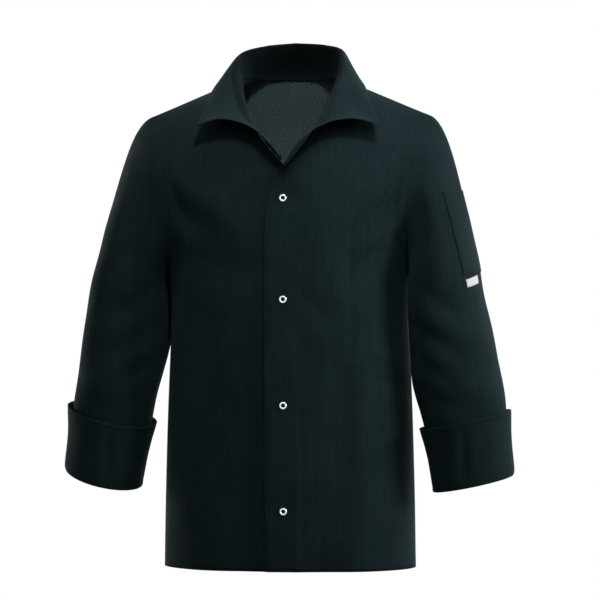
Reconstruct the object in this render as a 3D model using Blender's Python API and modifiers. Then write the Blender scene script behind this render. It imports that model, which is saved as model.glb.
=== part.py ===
"""Chef jacket, filled out as it is when worn: a hollow garment with a fold-over collar.

Frame: X to the wearer's left, the front faces -Y, Z up. The origin lies on the axis of
the neck, level with the shoulders that carry the jacket. Tables are in millimetres.
Every cloth piece is an open surface with a Solidify wall on its inner side.
"""

import math

import bmesh
import bpy
import numpy as np
from mathutils import Matrix, Vector

MM = 0.001
CLOTH = 1.5  # wall of one layer of cloth
SEAM = 0.35  # gap between two pieces at a seam
NECK_GAP = 0.8  # the stand rises this far inside the neck edge
NECK_MIDDLE = -25.0  # Y of the middle of the neck
STAND_BELOW, STAND_ABOVE = 2.0, 2.2  # the stand's seam edge spans the panel's wall
STAND_LEAD, LEAF_TAIL = 0.35, 0.45  # handles of the collar's sections, as shares
FOLD_ROUND = 5.0  # roundness of the fold, or less where the stand or the leaf is short:
STAND_SHARE, LEAF_SHARE = 0.5, 0.4  # these shares of their heights
SHOULDER_TRIM = 0.95  # each panel stops this far from the shoulder ridge, so that the walls clear
LAYER_STEP = 3.4  # the right front lies this far under the left one at the closing
FRONT_RADIUS = 260.0  # roundness of the fronts across the centre line
UNDER_NECK_SHIFT = 12  # the right front's neck edge starts this far over at the V
LAYER_REACH, LAYER_FADE = 30, 90  # the layers lie apart this far out, then close over this

# Levels count the rows of a body panel from the hem (0) over the armpit to the shoulder seam.
ARMPIT_LEVEL, V_LEVEL, NAPE_LEVEL, SHOULDER_LEVEL = 6, 12, 15, 20
BODY_LEVELS = (0, 2, 4, 5, *range(6, 21))
PANEL_STEPS = (0, 0.04, 0.17, 0.31, 0.46, 0.61, 0.76, 0.89, 0.98, 1)
BEFORE_EDGE = 0.985  # a place on a row just short of its outer edge, which gives its heading there

COLLAR_TOP_ROWS = (0, 0.25, 0.55, 0.85, 1)
LEAF_ROWS = (0.08, 0.3, 0.65, 1)

SNAP_HEIGHTS = (-167, -315, -470, -625)
SNAP_X = 3
FACET_SAG = 0.55  # the flat facets at the closing lie this far behind the true curve
RING_RADIUS, RING_WIRE = 4.5, 1.25
SOCKET_RADIUS, SOCKET_DEPTH = 5.0, 0.8
POST_RADIUS, POST_DEPTH = 5.0, 1.2

# Outer edge of a front (side seam, then armhole) and the handles of the curve that joins
# the inner edge to it: lead leaves the inner edge, tail arrives at the outer one.
FRONT_FORM = (
    # level, out_x, out_y, out_z, lead_x, lead_y, lead_z, tail_x, tail_y, tail_z
    (0, 189, 0, -714, 120, 0, 0, 0, -66, 0),
    (2, 187, 0, -590, 118, 0, 0, 0, -66, 0),
    (4, 182, 0, -430, 116, 0, 0, 0, -68, 0),
    (5, 178, 0, -350, 116, 0, 0, 0, -70, 0),
    (6, 180, 0, -272, 116, 0, 0, 0, -70, 0),
    (7, 179, -24, -262, 110, 0, 0, -4, -54, 1),
    (8, 177, -42, -240, 102, 0, 0, -14, -42, 2),
    (10, 175, -62, -190, 86, 0, 0, -32, -25, 4),
    (12, 180, -65, -139, 70, 0, 4, -46, -14, 8),
    (15, 192, -50, -94, 52, 3, -2, -50, -6, 12),
    (18, 204, -20, -57, 48, 2, -10, -48, -2, 17),
    (20, 210, 4, -40, 45, 0, -18, -45, 0, 18),
)
FRONT_MIDDLE = (
    # level, y, z on the centre line
    (0, -108, -714),
    (2, -113, -590),
    (4, -116, -430),
    (5, -118, -350),
    (6, -119, -272),
    (8, -119, -222),
    (10, -118, -170),
    (12, -115, -121),
)
FRONT_NECK = (
    # level, x, y, z from the bottom of the V to the shoulder seam
    (12, 6, -115, -121),
    (14, 32, -105, -88),
    (16, 54, -80, -50),
    (18, 68, -40, -10),
    (20, 74, 10, 17),
)
# How far each front runs past the centre line, by level.
LEFT_EDGE = ((0, 25), (7, 25), (9, 23.5), (10.5, 15), (11.4, 3), (12, -6))
RIGHT_EDGE = ((0, 25), (7, 25), (9, 25), (10.5, 22), (11.4, 15), (12, 6))

BACK_FORM = (
    # level, out_x, out_y, out_z, lead_x, lead_y, lead_z, tail_x, tail_y, tail_z
    (0, 189, 0, -714, 120, 0, 0, 0, 62, 0),
    (2, 187, 0, -590, 118, 0, 0, 0, 60, 0),
    (4, 182, 0, -430, 116, 0, 0, 0, 60, 0),
    (5, 178, 0, -350, 116, 0, 0, 0, 62, 0),
    (6, 180, 0, -272, 116, 0, 0, 0, 66, 0),
    (7, 180, 24, -260, 110, 0, 0, -4, 50, 1),
    (8, 179, 42, -236, 104, 0, 0, -14, 40, 2),
    (10, 178, 62, -182, 92, 0, 0, -32, 26, 4),
    (12, 183, 64, -138, 80, 0, 2, -44, 15, 10),
    (15, 194, 46, -92, 58, 2, -10, -50, 8, 16),
    (17, 202, 27, -64, 50, 4, -14, -48, 4, 18),
    (20, 210, 4, -40, 45, 0, -18, -45, 0, 18),
)
BACK_MIDDLE = (
    (0, 100, -714),
    (2, 98, -590),
    (4, 97, -430),
    (5, 101, -350),
    (6, 106, -272),
    (9, 111, -180),
    (12, 103, -82),
    (15, 80, 18),
)
BACK_NECK = (
    # level, x, y, z from the nape to the shoulder seam
    (15, 0, 80, 18),
    (17, 43, 70, 19),
    (18.5, 66, 45, 20),
    (20, 74, 10, 17),
)

# Sections of the arms, from the upper arm to the lower edge. roll lifts the outer side,
# drop lowers the front, skew moves the front inwards.
ARM_LEFT = (
    # z, centre_x, centre_y, half_width, half_depth, roll, drop, skew
    (-300, 236, -30, 53, 64, 10, 0, 14),
    (-360, 242, -28, 60, 60, 11, 0, 12),
    (-415, 249, -27, 64, 57, 12, 1, 8),
    (-470, 260, -28, 62, 54, 12, 3, 4),
    (-530, 269, -30, 59, 50, 12, 3, 0),
    (-582, 276, -32, 57, 47, 12, 3, 0),
)
ARM_RIGHT = (
    (-300, 238, -5, 54, 64, 10, 0, -20),
    (-360, 244, -5, 61, 60, 11, 2, -18),
    (-415, 254, -6, 63, 57, 12, 6, -10),
    (-470, 266, -8, 61, 54, 13, 10, -4),
    (-530, 274, -9, 58, 50, 13, 12, 0),
    (-577, 281, -9, 56, 47, 13, 13, 0),
)
HEAD_FULLNESS = {"left": 0.14, "right": 0.17}  # how far the sleeve head swells out of the armhole
HEAD_STEPS = (0, 0.04, 0.22, 0.45, 0.7)
ARM_STEPS = (0, 0.2, 0.4, 0.6, 0.8, 1)

ARM_PROBE = 12  # the arm's heading at its top is read this far below it
ARM_TAIL = 0.42  # share of the way over which the sleeve head settles into the arm
UNDERARM_HEADING = (0.8, 0, -0.6)  # the sleeve leaves the armpit outwards and down

# The turned-back cuff: distance out from the sleeve, and height above the sleeve's end.
CUFF_PROFILE = (
    # out, up
    (-CLOTH, -0.6),
    (-CLOTH, -2.8),
    (1.0, -4.9),
    (4.0, -3.8),
    (5.0, 5.0),
    (4.9, 34.0),
    (5.2, 64.0),
    (6.4, 90.0),
)

POCKET_TURN = (50.0, -14.0)  # degrees round the arm: its front edge and its hidden edge
POCKET_SPAN = (-160.0, -281.0)  # heights of its top and bottom on the front edge
LABEL_TURN = (49.0, 26.0)
LABEL_WALL = 1.0
PATCH_CLEARANCE = 1.0  # the flat facets of a patch clear those of the sleeve
LABEL_SPAN = (-283.0, -294.5)
PATCH_REACH = (0, 1.4)  # steps down the sleeve between which the patches lie
PATCH_RISE = 6.0  # how far a patch's edges climb as it wraps round a slanting sleeve

CHEST_COLUMNS = 2  # up to this column the neck edge lies on the chest
RIGHT_END = 0.5  # column where the collar's right end is tucked in beside the left one
# The collar by column: 0 at the bottom of the V, 8 at the shoulder seam, 13 at the nape.
COLLAR_FOLD_RIGHT = (
    # column, x, y, z of the fold
    (0, 6, -119, -117),
    (1, -5, -121, -100),
    (2, -19, -120, -83),
    (3, -34, -115, -69),
    (4, -51, -99, -57),
    (5, -67, -75, -38),
    (6, -79, -45, -11),
    (7, -87, -14, 16),
    (8, -85, 10, 42),
    (9, -79, 35, 56),
    (11, -46, 67, 70),
    (13, 0, 76, 75),
)
COLLAR_FOLD_LEFT = (
    (0, 6, -119, -117),
    (1, 18, -121, -97),
    (2, 34, -120, -79),
    (3, 50, -113, -66),
    (4, 63, -97, -57),
    (5, 68, -72, -38),
    (6, 74, -42, -8),
    (7, 80, -14, 22),
    (8, 80, 10, 46),
    (9, 76, 35, 59),
    (11, 46, 67, 71),
    (13, 0, 76, 75),
)
WING_FRONT_RIGHT = (
    # column, x, y, z of the leaf's front edge, from the V to the tip
    (0, 5, -123, -117),
    (1, -8, -125, -99),
    (2, -23, -125, -82),
    (3, -40, -119, -67),
    (4, -66, -110, -56),
    (5, -97, -101, -52),
    (6, -128, -90, -60),
)
WING_SIDE_RIGHT = (
    # column, x, y, z of the leaf's outer edge, from the tip to the nape
    (6, -128, -90, -60),
    (7, -119, -46, -25),
    (8, -112, 0, 4),
    (9, -105, 32, 9),
    (10, -87, 61, 10),
    (11, -62, 83, 6),
    (13, 0, 99, 4),
)
WING_FRONT_LEFT = (
    (0, 7, -123, -117),
    (1, 21, -125, -96),
    (2, 38, -125, -78),
    (3, 57, -118, -64),
    (4, 82, -109, -55),
    (5, 111, -99, -52),
    (6, 141, -87, -60),
)
WING_SIDE_LEFT = (
    (6, 141, -87, -60),
    (7, 124, -46, -24),
    (8, 112, 0, 5),
    (9, 105, 32, 9),
    (10, 87, 61, 10),
    (11, 62, 83, 6),
    (13, 0, 99, 4),
)

BLACK_CLOTH = (0.012, 0.017, 0.019)
GREY_KNIT = (0.035, 0.045, 0.047)
WHITE_TAPE = (0.75, 0.75, 0.75)
SILVER = (0.75, 0.76, 0.78)
DARK_METAL = (0.18, 0.18, 0.19)


def smooth(rows, at, flat_end=()):
    """A smooth curve through a table's rows, read at a value of its first column.

    Columns listed in flat_end arrive level at the last row.
    """
    table = np.array(rows, float)
    keys, values = table[:, 0], table[:, 1:]
    steps = np.diff(keys)[:, None]
    chords = np.diff(values, axis=0) / steps
    slopes = np.vstack([chords[:1], chords[-1:]])
    if len(keys) > 2:
        inner = (chords[:-1] * steps[1:] + chords[1:] * steps[:-1]) / (steps[1:] + steps[:-1])
        slopes = np.vstack([chords[:1], inner, chords[-1:]])
    slopes[-1, list(flat_end)] = 0
    i = int(np.clip(np.searchsorted(keys, at, side="right") - 1, 0, len(keys) - 2))
    width = keys[i + 1] - keys[i]
    t = (at - keys[i]) / width
    return (
        (2 * t**3 - 3 * t**2 + 1) * values[i]
        + (t**3 - 2 * t**2 + t) * width * slopes[i]
        + (3 * t**2 - 2 * t**3) * values[i + 1]
        + (t**3 - t**2) * width * slopes[i + 1]
    )


def seam_path(rows, level):
    """The outer edge of a panel: the side seam up to the armpit, then the armhole."""
    if level <= ARMPIT_LEVEL:
        return smooth([row[:4] for row in rows if row[0] <= ARMPIT_LEVEL], level)
    return smooth([row[:4] for row in rows if row[0] >= ARMPIT_LEVEL], level, flat_end=(2,))


def bezier(start, lead, tail, end, t):
    return (
        start * (1 - t) ** 3 + lead * 3 * t * (1 - t) ** 2 + tail * 3 * t**2 * (1 - t) + end * t**3
    )


def unit(vector):
    return vector / np.linalg.norm(vector)


# ---------------------------------------------------------------- body panels


def front_row(level, left):
    """Ends and handles of one row of a front, on the wearer's left half."""
    out, form = seam_path(FRONT_FORM, level), smooth(FRONT_FORM, level)
    lead, tail = form[3:6], form[6:9]
    if level <= V_LEVEL:
        past = smooth(LEFT_EDGE if left else RIGHT_EDGE, level)[0]
        y, z = smooth(FRONT_MIDDLE, level)
        start = np.array([-past, y + past**2 / (2 * FRONT_RADIUS), z])
        lead = lead + np.array([past * 0.5, -past * lead[0] / FRONT_RADIUS, 0])
    else:
        start = smooth(FRONT_NECK, level, flat_end=(2,))
        if not left:
            fade = (SHOULDER_LEVEL - level) / (SHOULDER_LEVEL - V_LEVEL)
            start = start - np.array([UNDER_NECK_SHIFT * fade**1.5, 0, 0])
    return start, start + lead, out + tail, out


def front_point(level, t, left):
    point = bezier(*front_row(level, left), t)
    if not left:
        near = np.clip(1 - (point[0] - LAYER_REACH) / LAYER_FADE, 0, 1)
        low = np.clip((V_LEVEL + 2 - level) / 2, 0, 1)
        point[1] += LAYER_STEP * near**2 * (3 - 2 * near) * low
        point[0] = -point[0]
    return point


def back_point(level, t):
    out, form = seam_path(BACK_FORM, level), smooth(BACK_FORM, level)
    lead, tail = form[3:6], form[6:9]
    if level <= NAPE_LEVEL:
        start = np.array([0, *smooth(BACK_MIDDLE, level)])
    else:
        start = smooth(BACK_NECK, level)
    return bezier(start, start + lead, out + tail, out, t)


def panel_grid(point):
    return np.array([[point(level, t) for t in PANEL_STEPS] for level in BODY_LEVELS])


def trimmed(grid):
    """The grid drawn back from its outer seam and from the shoulder seam."""
    grid = grid.copy()
    whole = slice(None)
    for edge, inside, trim in (
        ((whole, -1), (whole, -2), SEAM / 2),
        ((-1, whole), (-2, whole), SHOULDER_TRIM),
    ):
        away = grid[inside] - grid[edge]
        size = np.linalg.norm(away, axis=-1, keepdims=True)
        grid[edge] = grid[edge] + away / size * trim
    return grid


# ---------------------------------------------------------------- sleeves


def armhole(left):
    """The armhole loop from the armpit up the front, over the shoulder and down the back.

    Returns its points, the directions in which the panels arrive there, and turns in
    radians: 0 at the shoulder, positive round the front.
    """
    levels = [level for level in BODY_LEVELS if level >= ARMPIT_LEVEL]
    front = [(front_point(v, 1, True), front_point(v, BEFORE_EDGE, True)) for v in levels]
    back = [(back_point(v, 1), back_point(v, BEFORE_EDGE)) for v in levels[-2:0:-1]]
    loop = np.array([end for end, _ in front + back])
    heading = np.array([unit(end - before) for end, before in front + back])
    along = np.concatenate([[0], np.cumsum(np.linalg.norm(np.diff(loop, axis=0), axis=1))])
    top = along[len(front) - 1]
    whole = along[-1] + np.linalg.norm(loop[0] - loop[-1])
    turns = [
        math.pi * (1 - s / top) if s <= top else -math.pi * (s - top) / (whole - top)
        for s in along
    ]
    turns = np.array(turns)
    under = (np.abs(turns) / math.pi)[:, None] ** 2
    heading = heading * (1 - under) + np.array(UNDERARM_HEADING) * under
    return loop, heading, turns


def arm_point(arm, z, turn, out=0.0):
    """A point of an arm's section, out from its surface by a distance."""
    cx, cy, wide, deep, roll, drop, skew = smooth(arm, -z)
    front = math.sin(turn)
    side = math.cos(turn)
    tilt = math.radians(roll)
    return np.array(
        [
            cx + (wide + out) * side * math.cos(tilt) - skew * front,
            cy - (deep + out) * front,
            z + (wide + out) * side * math.sin(tilt) - drop * front,
        ]
    )


def arm_table(arm):
    return [(-row[0], *row[1:]) for row in arm]


def sleeve_point(arm, start, heading, turn, step, fullness):
    """Step 0 to 1 runs from the armhole to the upper arm, 1 to 2 on down to the end."""
    top, bottom = -arm[0][0], -arm[-1][0]
    if step >= 1:
        return arm_point(arm, top + (bottom - top) * (step - 1), turn)
    end = arm_point(arm, top, turn)
    down = unit(arm_point(arm, top - ARM_PROBE, turn) - end)
    reach = np.linalg.norm(end - start)
    lead = start + heading * reach * fullness
    tail = end - down * reach * ARM_TAIL
    return bezier(start, lead, tail, end, step)


def sleeve_grid(arm, fullness):
    loop, headings, turns = armhole(True)
    steps = [*HEAD_STEPS, *(1 + s for s in ARM_STEPS)]
    grid = np.array(
        [
            [
                sleeve_point(arm, start, heading, turn, step, fullness)
                for start, heading, turn in zip(loop, headings, turns)
            ]
            for step in steps
        ]
    )
    away = grid[1] - grid[0]
    grid[0] = grid[0] + away / np.linalg.norm(away, axis=-1, keepdims=True) * SEAM / 2
    return grid


def cuff_grid(arm):
    _, _, turns = armhole(True)
    end = -arm[-1][0]
    return np.array(
        [[arm_point(arm, end + up, turn, out) for turn in turns] for out, up in CUFF_PROFILE]
    )


def sleeve_line(arm, turn):
    """Points down the left sleeve at one turn in degrees."""
    loop, headings, turns = armhole(True)
    angle = math.radians(turn)
    order = np.argsort(turns)
    start = np.array([np.interp(angle, turns[order], loop[order, k]) for k in range(3)])
    heading = unit(np.array([np.interp(angle, turns[order], headings[order, k]) for k in range(3)]))
    steps = np.linspace(*PATCH_REACH, 120)
    fullness = HEAD_FULLNESS["left"]
    return np.array([sleeve_point(arm, start, heading, angle, step, fullness) for step in steps])


def at_height(line, z):
    """The point of a falling line at a height, and the line's heading there."""
    fallen = -line[:, 2]
    below = int(np.clip(np.searchsorted(fallen, -z), 1, len(line) - 1))
    point = np.array([np.interp(-z, fallen, line[:, k]) for k in range(3)])
    return point, unit(line[below] - line[below - 1])


def on_sleeve(arm, turn, z, out):
    """A point lifted off the left sleeve, at a turn in degrees and a height."""
    point, down = at_height(sleeve_line(arm, turn), z)
    beside, _ = at_height(sleeve_line(arm, turn + 2), z)
    return point + unit(np.cross(beside - point, down)) * out


def patch_grid(arm, turn_span, height_span, columns, rows, out):
    turns = np.linspace(*turn_span, columns)
    heights = np.linspace(*height_span, rows)
    return np.array(
        [
            [
                on_sleeve(arm, turn, z + PATCH_RISE * (1 - math.sin(math.radians(turn))), out)
                for turn in turns
            ]
            for z in heights
        ]
    )


# ---------------------------------------------------------------- collar


def neck_columns(left):
    """Neck edge points from the V to the nape, each with the way into its panel and the normal."""
    front = panel_grid(lambda v, t: front_point(v, t, left))
    back = panel_grid(back_point)
    if not left:
        back = mirrored(back)
    rising = [v for v in BODY_LEVELS if v >= V_LEVEL]
    falling = [v for v in reversed(BODY_LEVELS) if NAPE_LEVEL <= v < SHOULDER_LEVEL]
    rows = [(front, v) for v in rising] + [(back, v) for v in falling]
    edges = [grid[BODY_LEVELS.index(level), 0] for grid, level in rows]
    nexts = [*edges[1:], edges[-2] * np.array([-1, 1, 1])]
    columns = []
    for place, (grid, level) in enumerate(rows):
        row = BODY_LEVELS.index(level)
        edge = edges[place]
        along = unit(nexts[place] - edges[max(place - 1, 0)])
        at_nape = place == len(rows) - 1
        inside = grid[row - 1, 0] if at_nape else grid[row, 1]
        across = inside - edge
        across = unit(across - along * np.dot(across, along))
        normal = unit(np.cross(along, across))
        faces_in = normal[1] > 0 if place <= CHEST_COLUMNS else normal[2] < 0
        columns.append((edge, across, -normal if faces_in else normal))
    return columns


def collar_column(edge, across, normal, fold, tip):
    """One section of the collar: up the stand, over the fold, down the leaf."""
    low = edge - across * NECK_GAP - normal * STAND_BELOW
    high = edge - across * NECK_GAP + normal * STAND_ABOVE
    outward = unit(np.array([fold[0], fold[1] - NECK_MIDDLE, 0]))
    rise = np.linalg.norm(fold - high)
    reach = min(FOLD_ROUND, STAND_SHARE * rise)
    stand = [
        bezier(high, high + normal * rise * STAND_LEAD, fold - outward * reach, fold, t)
        for t in COLLAR_TOP_ROWS
    ]
    fall = np.linalg.norm(tip - fold)
    turn = min(FOLD_ROUND, LEAF_SHARE * fall)
    leaf = [
        bezier(fold, fold + outward * turn, tip + (fold - tip) * LEAF_TAIL, tip, t)
        for t in LEAF_ROWS
    ]
    return [low, *stand, *leaf]


def collar_grid():
    sections = []
    for left in (False, True):
        fold_rows = COLLAR_FOLD_LEFT if left else COLLAR_FOLD_RIGHT
        front_rows = WING_FRONT_LEFT if left else WING_FRONT_RIGHT
        side_rows = WING_SIDE_LEFT if left else WING_SIDE_RIGHT
        corner = side_rows[0][0]
        columns = neck_columns(left)
        places = list(range(len(columns)))
        if not left:
            places[0] = RIGHT_END
            columns[0] = [
                a * (1 - RIGHT_END) + b * RIGHT_END for a, b in zip(columns[0], columns[1])
            ]
        half = [
            collar_column(
                edge,
                across,
                normal,
                smooth(fold_rows, i),
                smooth(front_rows if i <= corner else side_rows, i),
            )
            for i, (edge, across, normal) in zip(places, columns)
        ]
        sections += half if not left else half[-2::-1]
    return np.array(sections)


# ---------------------------------------------------------------- objects


def material(name, colour, roughness, metallic=0.0):
    made = bpy.data.materials.new(name)
    made.use_nodes = True
    shader = made.node_tree.nodes["Principled BSDF"]
    shader.inputs["Base Color"].default_value = (*colour, 1)
    shader.inputs["Roughness"].default_value = roughness
    shader.inputs["Metallic"].default_value = metallic
    return made


def finish(name, mesh, collection, surface, smooth_shade=True):
    piece = bpy.data.objects.new(name, mesh)
    collection.objects.link(piece)
    mesh.materials.append(surface)
    if smooth_shade:
        mesh.shade_smooth()
    return piece


def add_wall(piece, thickness=CLOTH, offset=-1.0):
    wall = piece.modifiers.new("wall", "SOLIDIFY")
    wall.thickness = thickness * MM
    wall.offset = offset
    return wall


def sheet_mesh(name, grid, closed=False, flip=False):
    """A mesh on a grid of points, closed round its columns if asked."""
    rows, columns = grid.shape[:2]
    shape = bmesh.new()
    wide = columns + 1 if closed else columns
    bmesh.ops.create_grid(shape, x_segments=wide - 1, y_segments=rows - 1, size=1)
    shape.verts.ensure_lookup_table()
    ordered = sorted(shape.verts, key=lambda v: (round(v.co.y, 5), round(v.co.x, 5)))
    for index, vert in enumerate(ordered):
        row, column = divmod(index, wide)
        vert.co = Vector(grid[row, column % columns] * MM)
    bmesh.ops.remove_doubles(shape, verts=shape.verts, dist=1e-6)
    if flip:
        bmesh.ops.reverse_faces(shape, faces=shape.faces)
    mesh = bpy.data.meshes.new(name)
    shape.to_mesh(mesh)
    shape.free()
    return mesh


def mirrored(grid):
    return grid * np.array([-1, 1, 1])


def build_fronts(collection, cloth):
    for name, left in (("front_left", True), ("front_right", False)):
        grid = trimmed(panel_grid(lambda v, t: front_point(v, t, left)))
        add_wall(finish(name, sheet_mesh(name, grid, flip=not left), collection, cloth))


def build_back(collection, knit):
    grid = trimmed(panel_grid(back_point))
    below = [i for i, level in enumerate(BODY_LEVELS) if level <= NAPE_LEVEL]
    grid[below, 0, 0] = 0
    piece = finish("back", sheet_mesh("back", grid, flip=True), collection, knit)
    halves = piece.modifiers.new("other half", "MIRROR")
    halves.merge_threshold = 0.0001
    add_wall(piece)


def build_sleeves(collection, cloth):
    for side, arm in (("left", ARM_LEFT), ("right", ARM_RIGHT)):
        table = arm_table(arm)
        sleeve, cuff = sleeve_grid(table, HEAD_FULLNESS[side]), cuff_grid(table)
        if side == "right":
            sleeve, cuff = mirrored(sleeve), mirrored(cuff)
        sleeve_name, cuff_name = f"sleeve_{side}", f"cuff_{side}"
        mesh = sheet_mesh(sleeve_name, sleeve, closed=True, flip=side == "left")
        add_wall(finish(sleeve_name, mesh, collection, cloth))
        mesh = sheet_mesh(cuff_name, cuff, closed=True, flip=side == "right")
        add_wall(finish(cuff_name, mesh, collection, cloth))


def build_pocket(collection, cloth, tape):
    arm = arm_table(ARM_LEFT)
    lift = PATCH_CLEARANCE + CLOTH
    grid = patch_grid(arm, POCKET_TURN, POCKET_SPAN, 7, 9, lift)
    add_wall(finish("pen_pocket", sheet_mesh("pen_pocket", grid, flip=True), collection, cloth))
    grid = patch_grid(arm, LABEL_TURN, LABEL_SPAN, 4, 3, PATCH_CLEARANCE + LABEL_WALL)
    mesh = sheet_mesh("label", grid, flip=True)
    add_wall(finish("label", mesh, collection, tape), thickness=LABEL_WALL)


def build_collar(collection, cloth):
    add_wall(finish("collar", sheet_mesh("collar", collar_grid()), collection, cloth))


def snap_place(height, left):
    """Outer face of a front on the centre line, and the tilt of that face about X."""

    def depth(z):
        levels = np.linspace(0, V_LEVEL, 200)
        rows = np.array([smooth(FRONT_MIDDLE, level) for level in levels])
        return float(np.interp(z, rows[:, 1], rows[:, 0]))

    y = depth(height) + FACET_SAG + (0 if left else LAYER_STEP)
    tilt = math.atan2(depth(height + 5) - depth(height - 5), 10)
    return y, tilt


def placed(name, mesh, collection, surface, y, z, tilt):
    piece = finish(name, mesh, collection, surface)
    piece.matrix_world = (
        Matrix.Translation((SNAP_X * MM, y * MM, z * MM)) @ Matrix.Rotation(math.pi / 2 - tilt, 4, "X")
    )
    return piece


def disc_mesh(name, radius, depth, segments=16):
    shape = bmesh.new()
    bmesh.ops.create_cone(
        shape,
        cap_ends=True,
        segments=segments,
        radius1=radius * MM,
        radius2=radius * MM,
        depth=depth * MM,
    )
    mesh = bpy.data.meshes.new(name)
    shape.to_mesh(mesh)
    shape.free()
    return mesh


def ring_mesh(name):
    bpy.ops.mesh.primitive_torus_add(
        major_radius=RING_RADIUS * MM, minor_radius=RING_WIRE * MM, major_segments=16, minor_segments=6
    )
    temporary = bpy.context.object
    mesh = temporary.data.copy()
    mesh.name = name
    bpy.data.objects.remove(temporary)
    return mesh


def build_snaps(collection, silver, dark):
    for number, height in enumerate(SNAP_HEIGHTS, 1):
        name = f"snap_{number}_ring"
        y, tilt = snap_place(height, True)
        ring_y = y - RING_WIRE - SEAM
        placed(name, ring_mesh(name), collection, silver, ring_y, height, tilt)
        name = f"snap_{number}_socket"
        socket_y = y + (CLOTH + LAYER_STEP) / 2
        disc = disc_mesh(name, SOCKET_RADIUS, SOCKET_DEPTH)
        placed(name, disc, collection, dark, socket_y, height, tilt)
        name = f"snap_{number}_post"
        y, tilt = snap_place(height, False)
        post_y = y + CLOTH + SEAM + POST_DEPTH / 2
        placed(name, disc_mesh(name, POST_RADIUS, POST_DEPTH), collection, dark, post_y, height, tilt)


def main():
    for leftover in list(bpy.data.objects):
        bpy.data.objects.remove(leftover)
    jacket = bpy.data.collections.new("chef_jacket")
    bpy.context.scene.collection.children.link(jacket)
    cloth = material("black_cloth", BLACK_CLOTH, 0.75)
    build_fronts(jacket, cloth)
    build_back(jacket, material("grey_knit", GREY_KNIT, 0.85))
    build_sleeves(jacket, cloth)
    build_pocket(jacket, cloth, material("white_tape", WHITE_TAPE, 0.7))
    build_collar(jacket, cloth)
    silver = material("silver_ring", SILVER, 0.25, metallic=1.0)
    build_snaps(jacket, silver, material("dark_metal", DARK_METAL, 0.4, metallic=1.0))


main()
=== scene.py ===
import math

import bmesh
import bpy
import numpy as np
from bpy.props import FloatProperty, FloatVectorProperty, PointerProperty
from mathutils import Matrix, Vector


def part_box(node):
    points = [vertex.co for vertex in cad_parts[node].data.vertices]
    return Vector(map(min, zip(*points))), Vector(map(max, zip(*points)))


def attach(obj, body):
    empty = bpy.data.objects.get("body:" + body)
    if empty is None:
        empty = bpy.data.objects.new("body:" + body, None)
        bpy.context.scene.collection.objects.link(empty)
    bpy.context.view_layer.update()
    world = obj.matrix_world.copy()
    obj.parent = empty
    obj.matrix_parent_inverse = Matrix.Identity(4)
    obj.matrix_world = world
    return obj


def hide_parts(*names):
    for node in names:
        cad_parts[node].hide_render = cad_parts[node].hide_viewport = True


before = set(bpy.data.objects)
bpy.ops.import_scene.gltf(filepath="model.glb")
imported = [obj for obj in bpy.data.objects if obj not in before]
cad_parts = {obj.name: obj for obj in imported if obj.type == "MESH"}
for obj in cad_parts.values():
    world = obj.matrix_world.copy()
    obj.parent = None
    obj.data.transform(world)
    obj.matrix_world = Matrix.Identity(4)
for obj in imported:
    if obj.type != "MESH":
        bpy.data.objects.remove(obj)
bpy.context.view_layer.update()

bl_info = {
    "name": "Chef Jacket",
    "version": (1, 0, 0),
    "blender": (4, 5, 0),
    "location": "View3D > Sidebar > Jacket",
    "description": "Builds a filled-out chef jacket, piece by piece, on its solid model",
    "category": "Object",
}

MM = 0.001
BODY = "root"

# ---------------------------------------------------------------- sizes, in millimetres

SEAM = -0.6  # the pieces run this far past one another, so that no light shows at the seams
NECK_GAP = 0.8
NECK_MIDDLE = -25.0
STAND_BELOW, STAND_ABOVE = 2.0, 2.2
STAND_LEAD, LEAF_TAIL = 0.35, 0.45
FOLD_ROUND = 5.0
SHOULDER_TRIM = 0.3
LAYER_STEP = 3.4
FRONT_RADIUS = 260.0
UNDER_NECK_SHIFT = 12
LAYER_REACH, LAYER_FADE = 30, 90
ARMPIT_LEVEL, V_LEVEL, NAPE_LEVEL, SHOULDER_LEVEL = 6, 12, 15, 20
CHEST_COLUMNS = 2
RIGHT_END = 0.5
SNAP_HEIGHTS = (-167, -315, -470, -625)
SNAP_X = 3
THREAD_WIRE = 0.2
TOPSTITCH, HEM_STITCH, POCKET_STITCH = 6.4, 14.0, 3.0  # how far inside its edge each one lies
UNSTITCHED = 99.0
THREAD_SIDES, THREAD_STEPS = 6, 6
FRONT_LEVELS, BACK_LEVELS = 166, 150
BACK_COLUMNS = 92
CUFF_COLUMNS, CUFF_ROWS = 120, 85
COLLAR_COLUMNS = {"left": 105, "right": 101}
SLEEVE_HEAD_STEPS, SLEEVE_STEPS = 56, 50
POCKET_GRID, LABEL_GRID = (70, 40), (14, 26)
POCKET_CLEAR, LABEL_LIFT, LABEL_WALL = 0.3, 1.2, 0.8
SNAP_FLAT, SNAP_FADE = 9, 26  # the cloth is flat this far round a snap, then eases off
SEAM_CALM = 16.0  # the folds fade out this far from a side seam or armhole
WING_SHADE, WING_SHADE_REACH = 0.95, 27.0
WING_SHADE_PAST, WING_SHADE_FADE = -2.0, 14.0
FOLD_PULL = (1.2, 0.8)  # how strongly a fold's middle point draws its two ends
FOLD_SPREAD, FOLD_WIDENING = 0.75, 0.6
FOLD_END, FOLD_FACING = 0.25, 1.8
# The body's waves start at the first height and grow over the second, and fade at the sides.
WAVE_TOP, WAVE_GROWTH, WAVE_SIDE, WAVE_FADE = -300, 330, 186, 40
FINE_LENGTH, FINE_DEPTH, BROAD_LENGTH, BROAD_DEPTH = 17.0, 0.8, 39.0, 1.5
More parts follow.
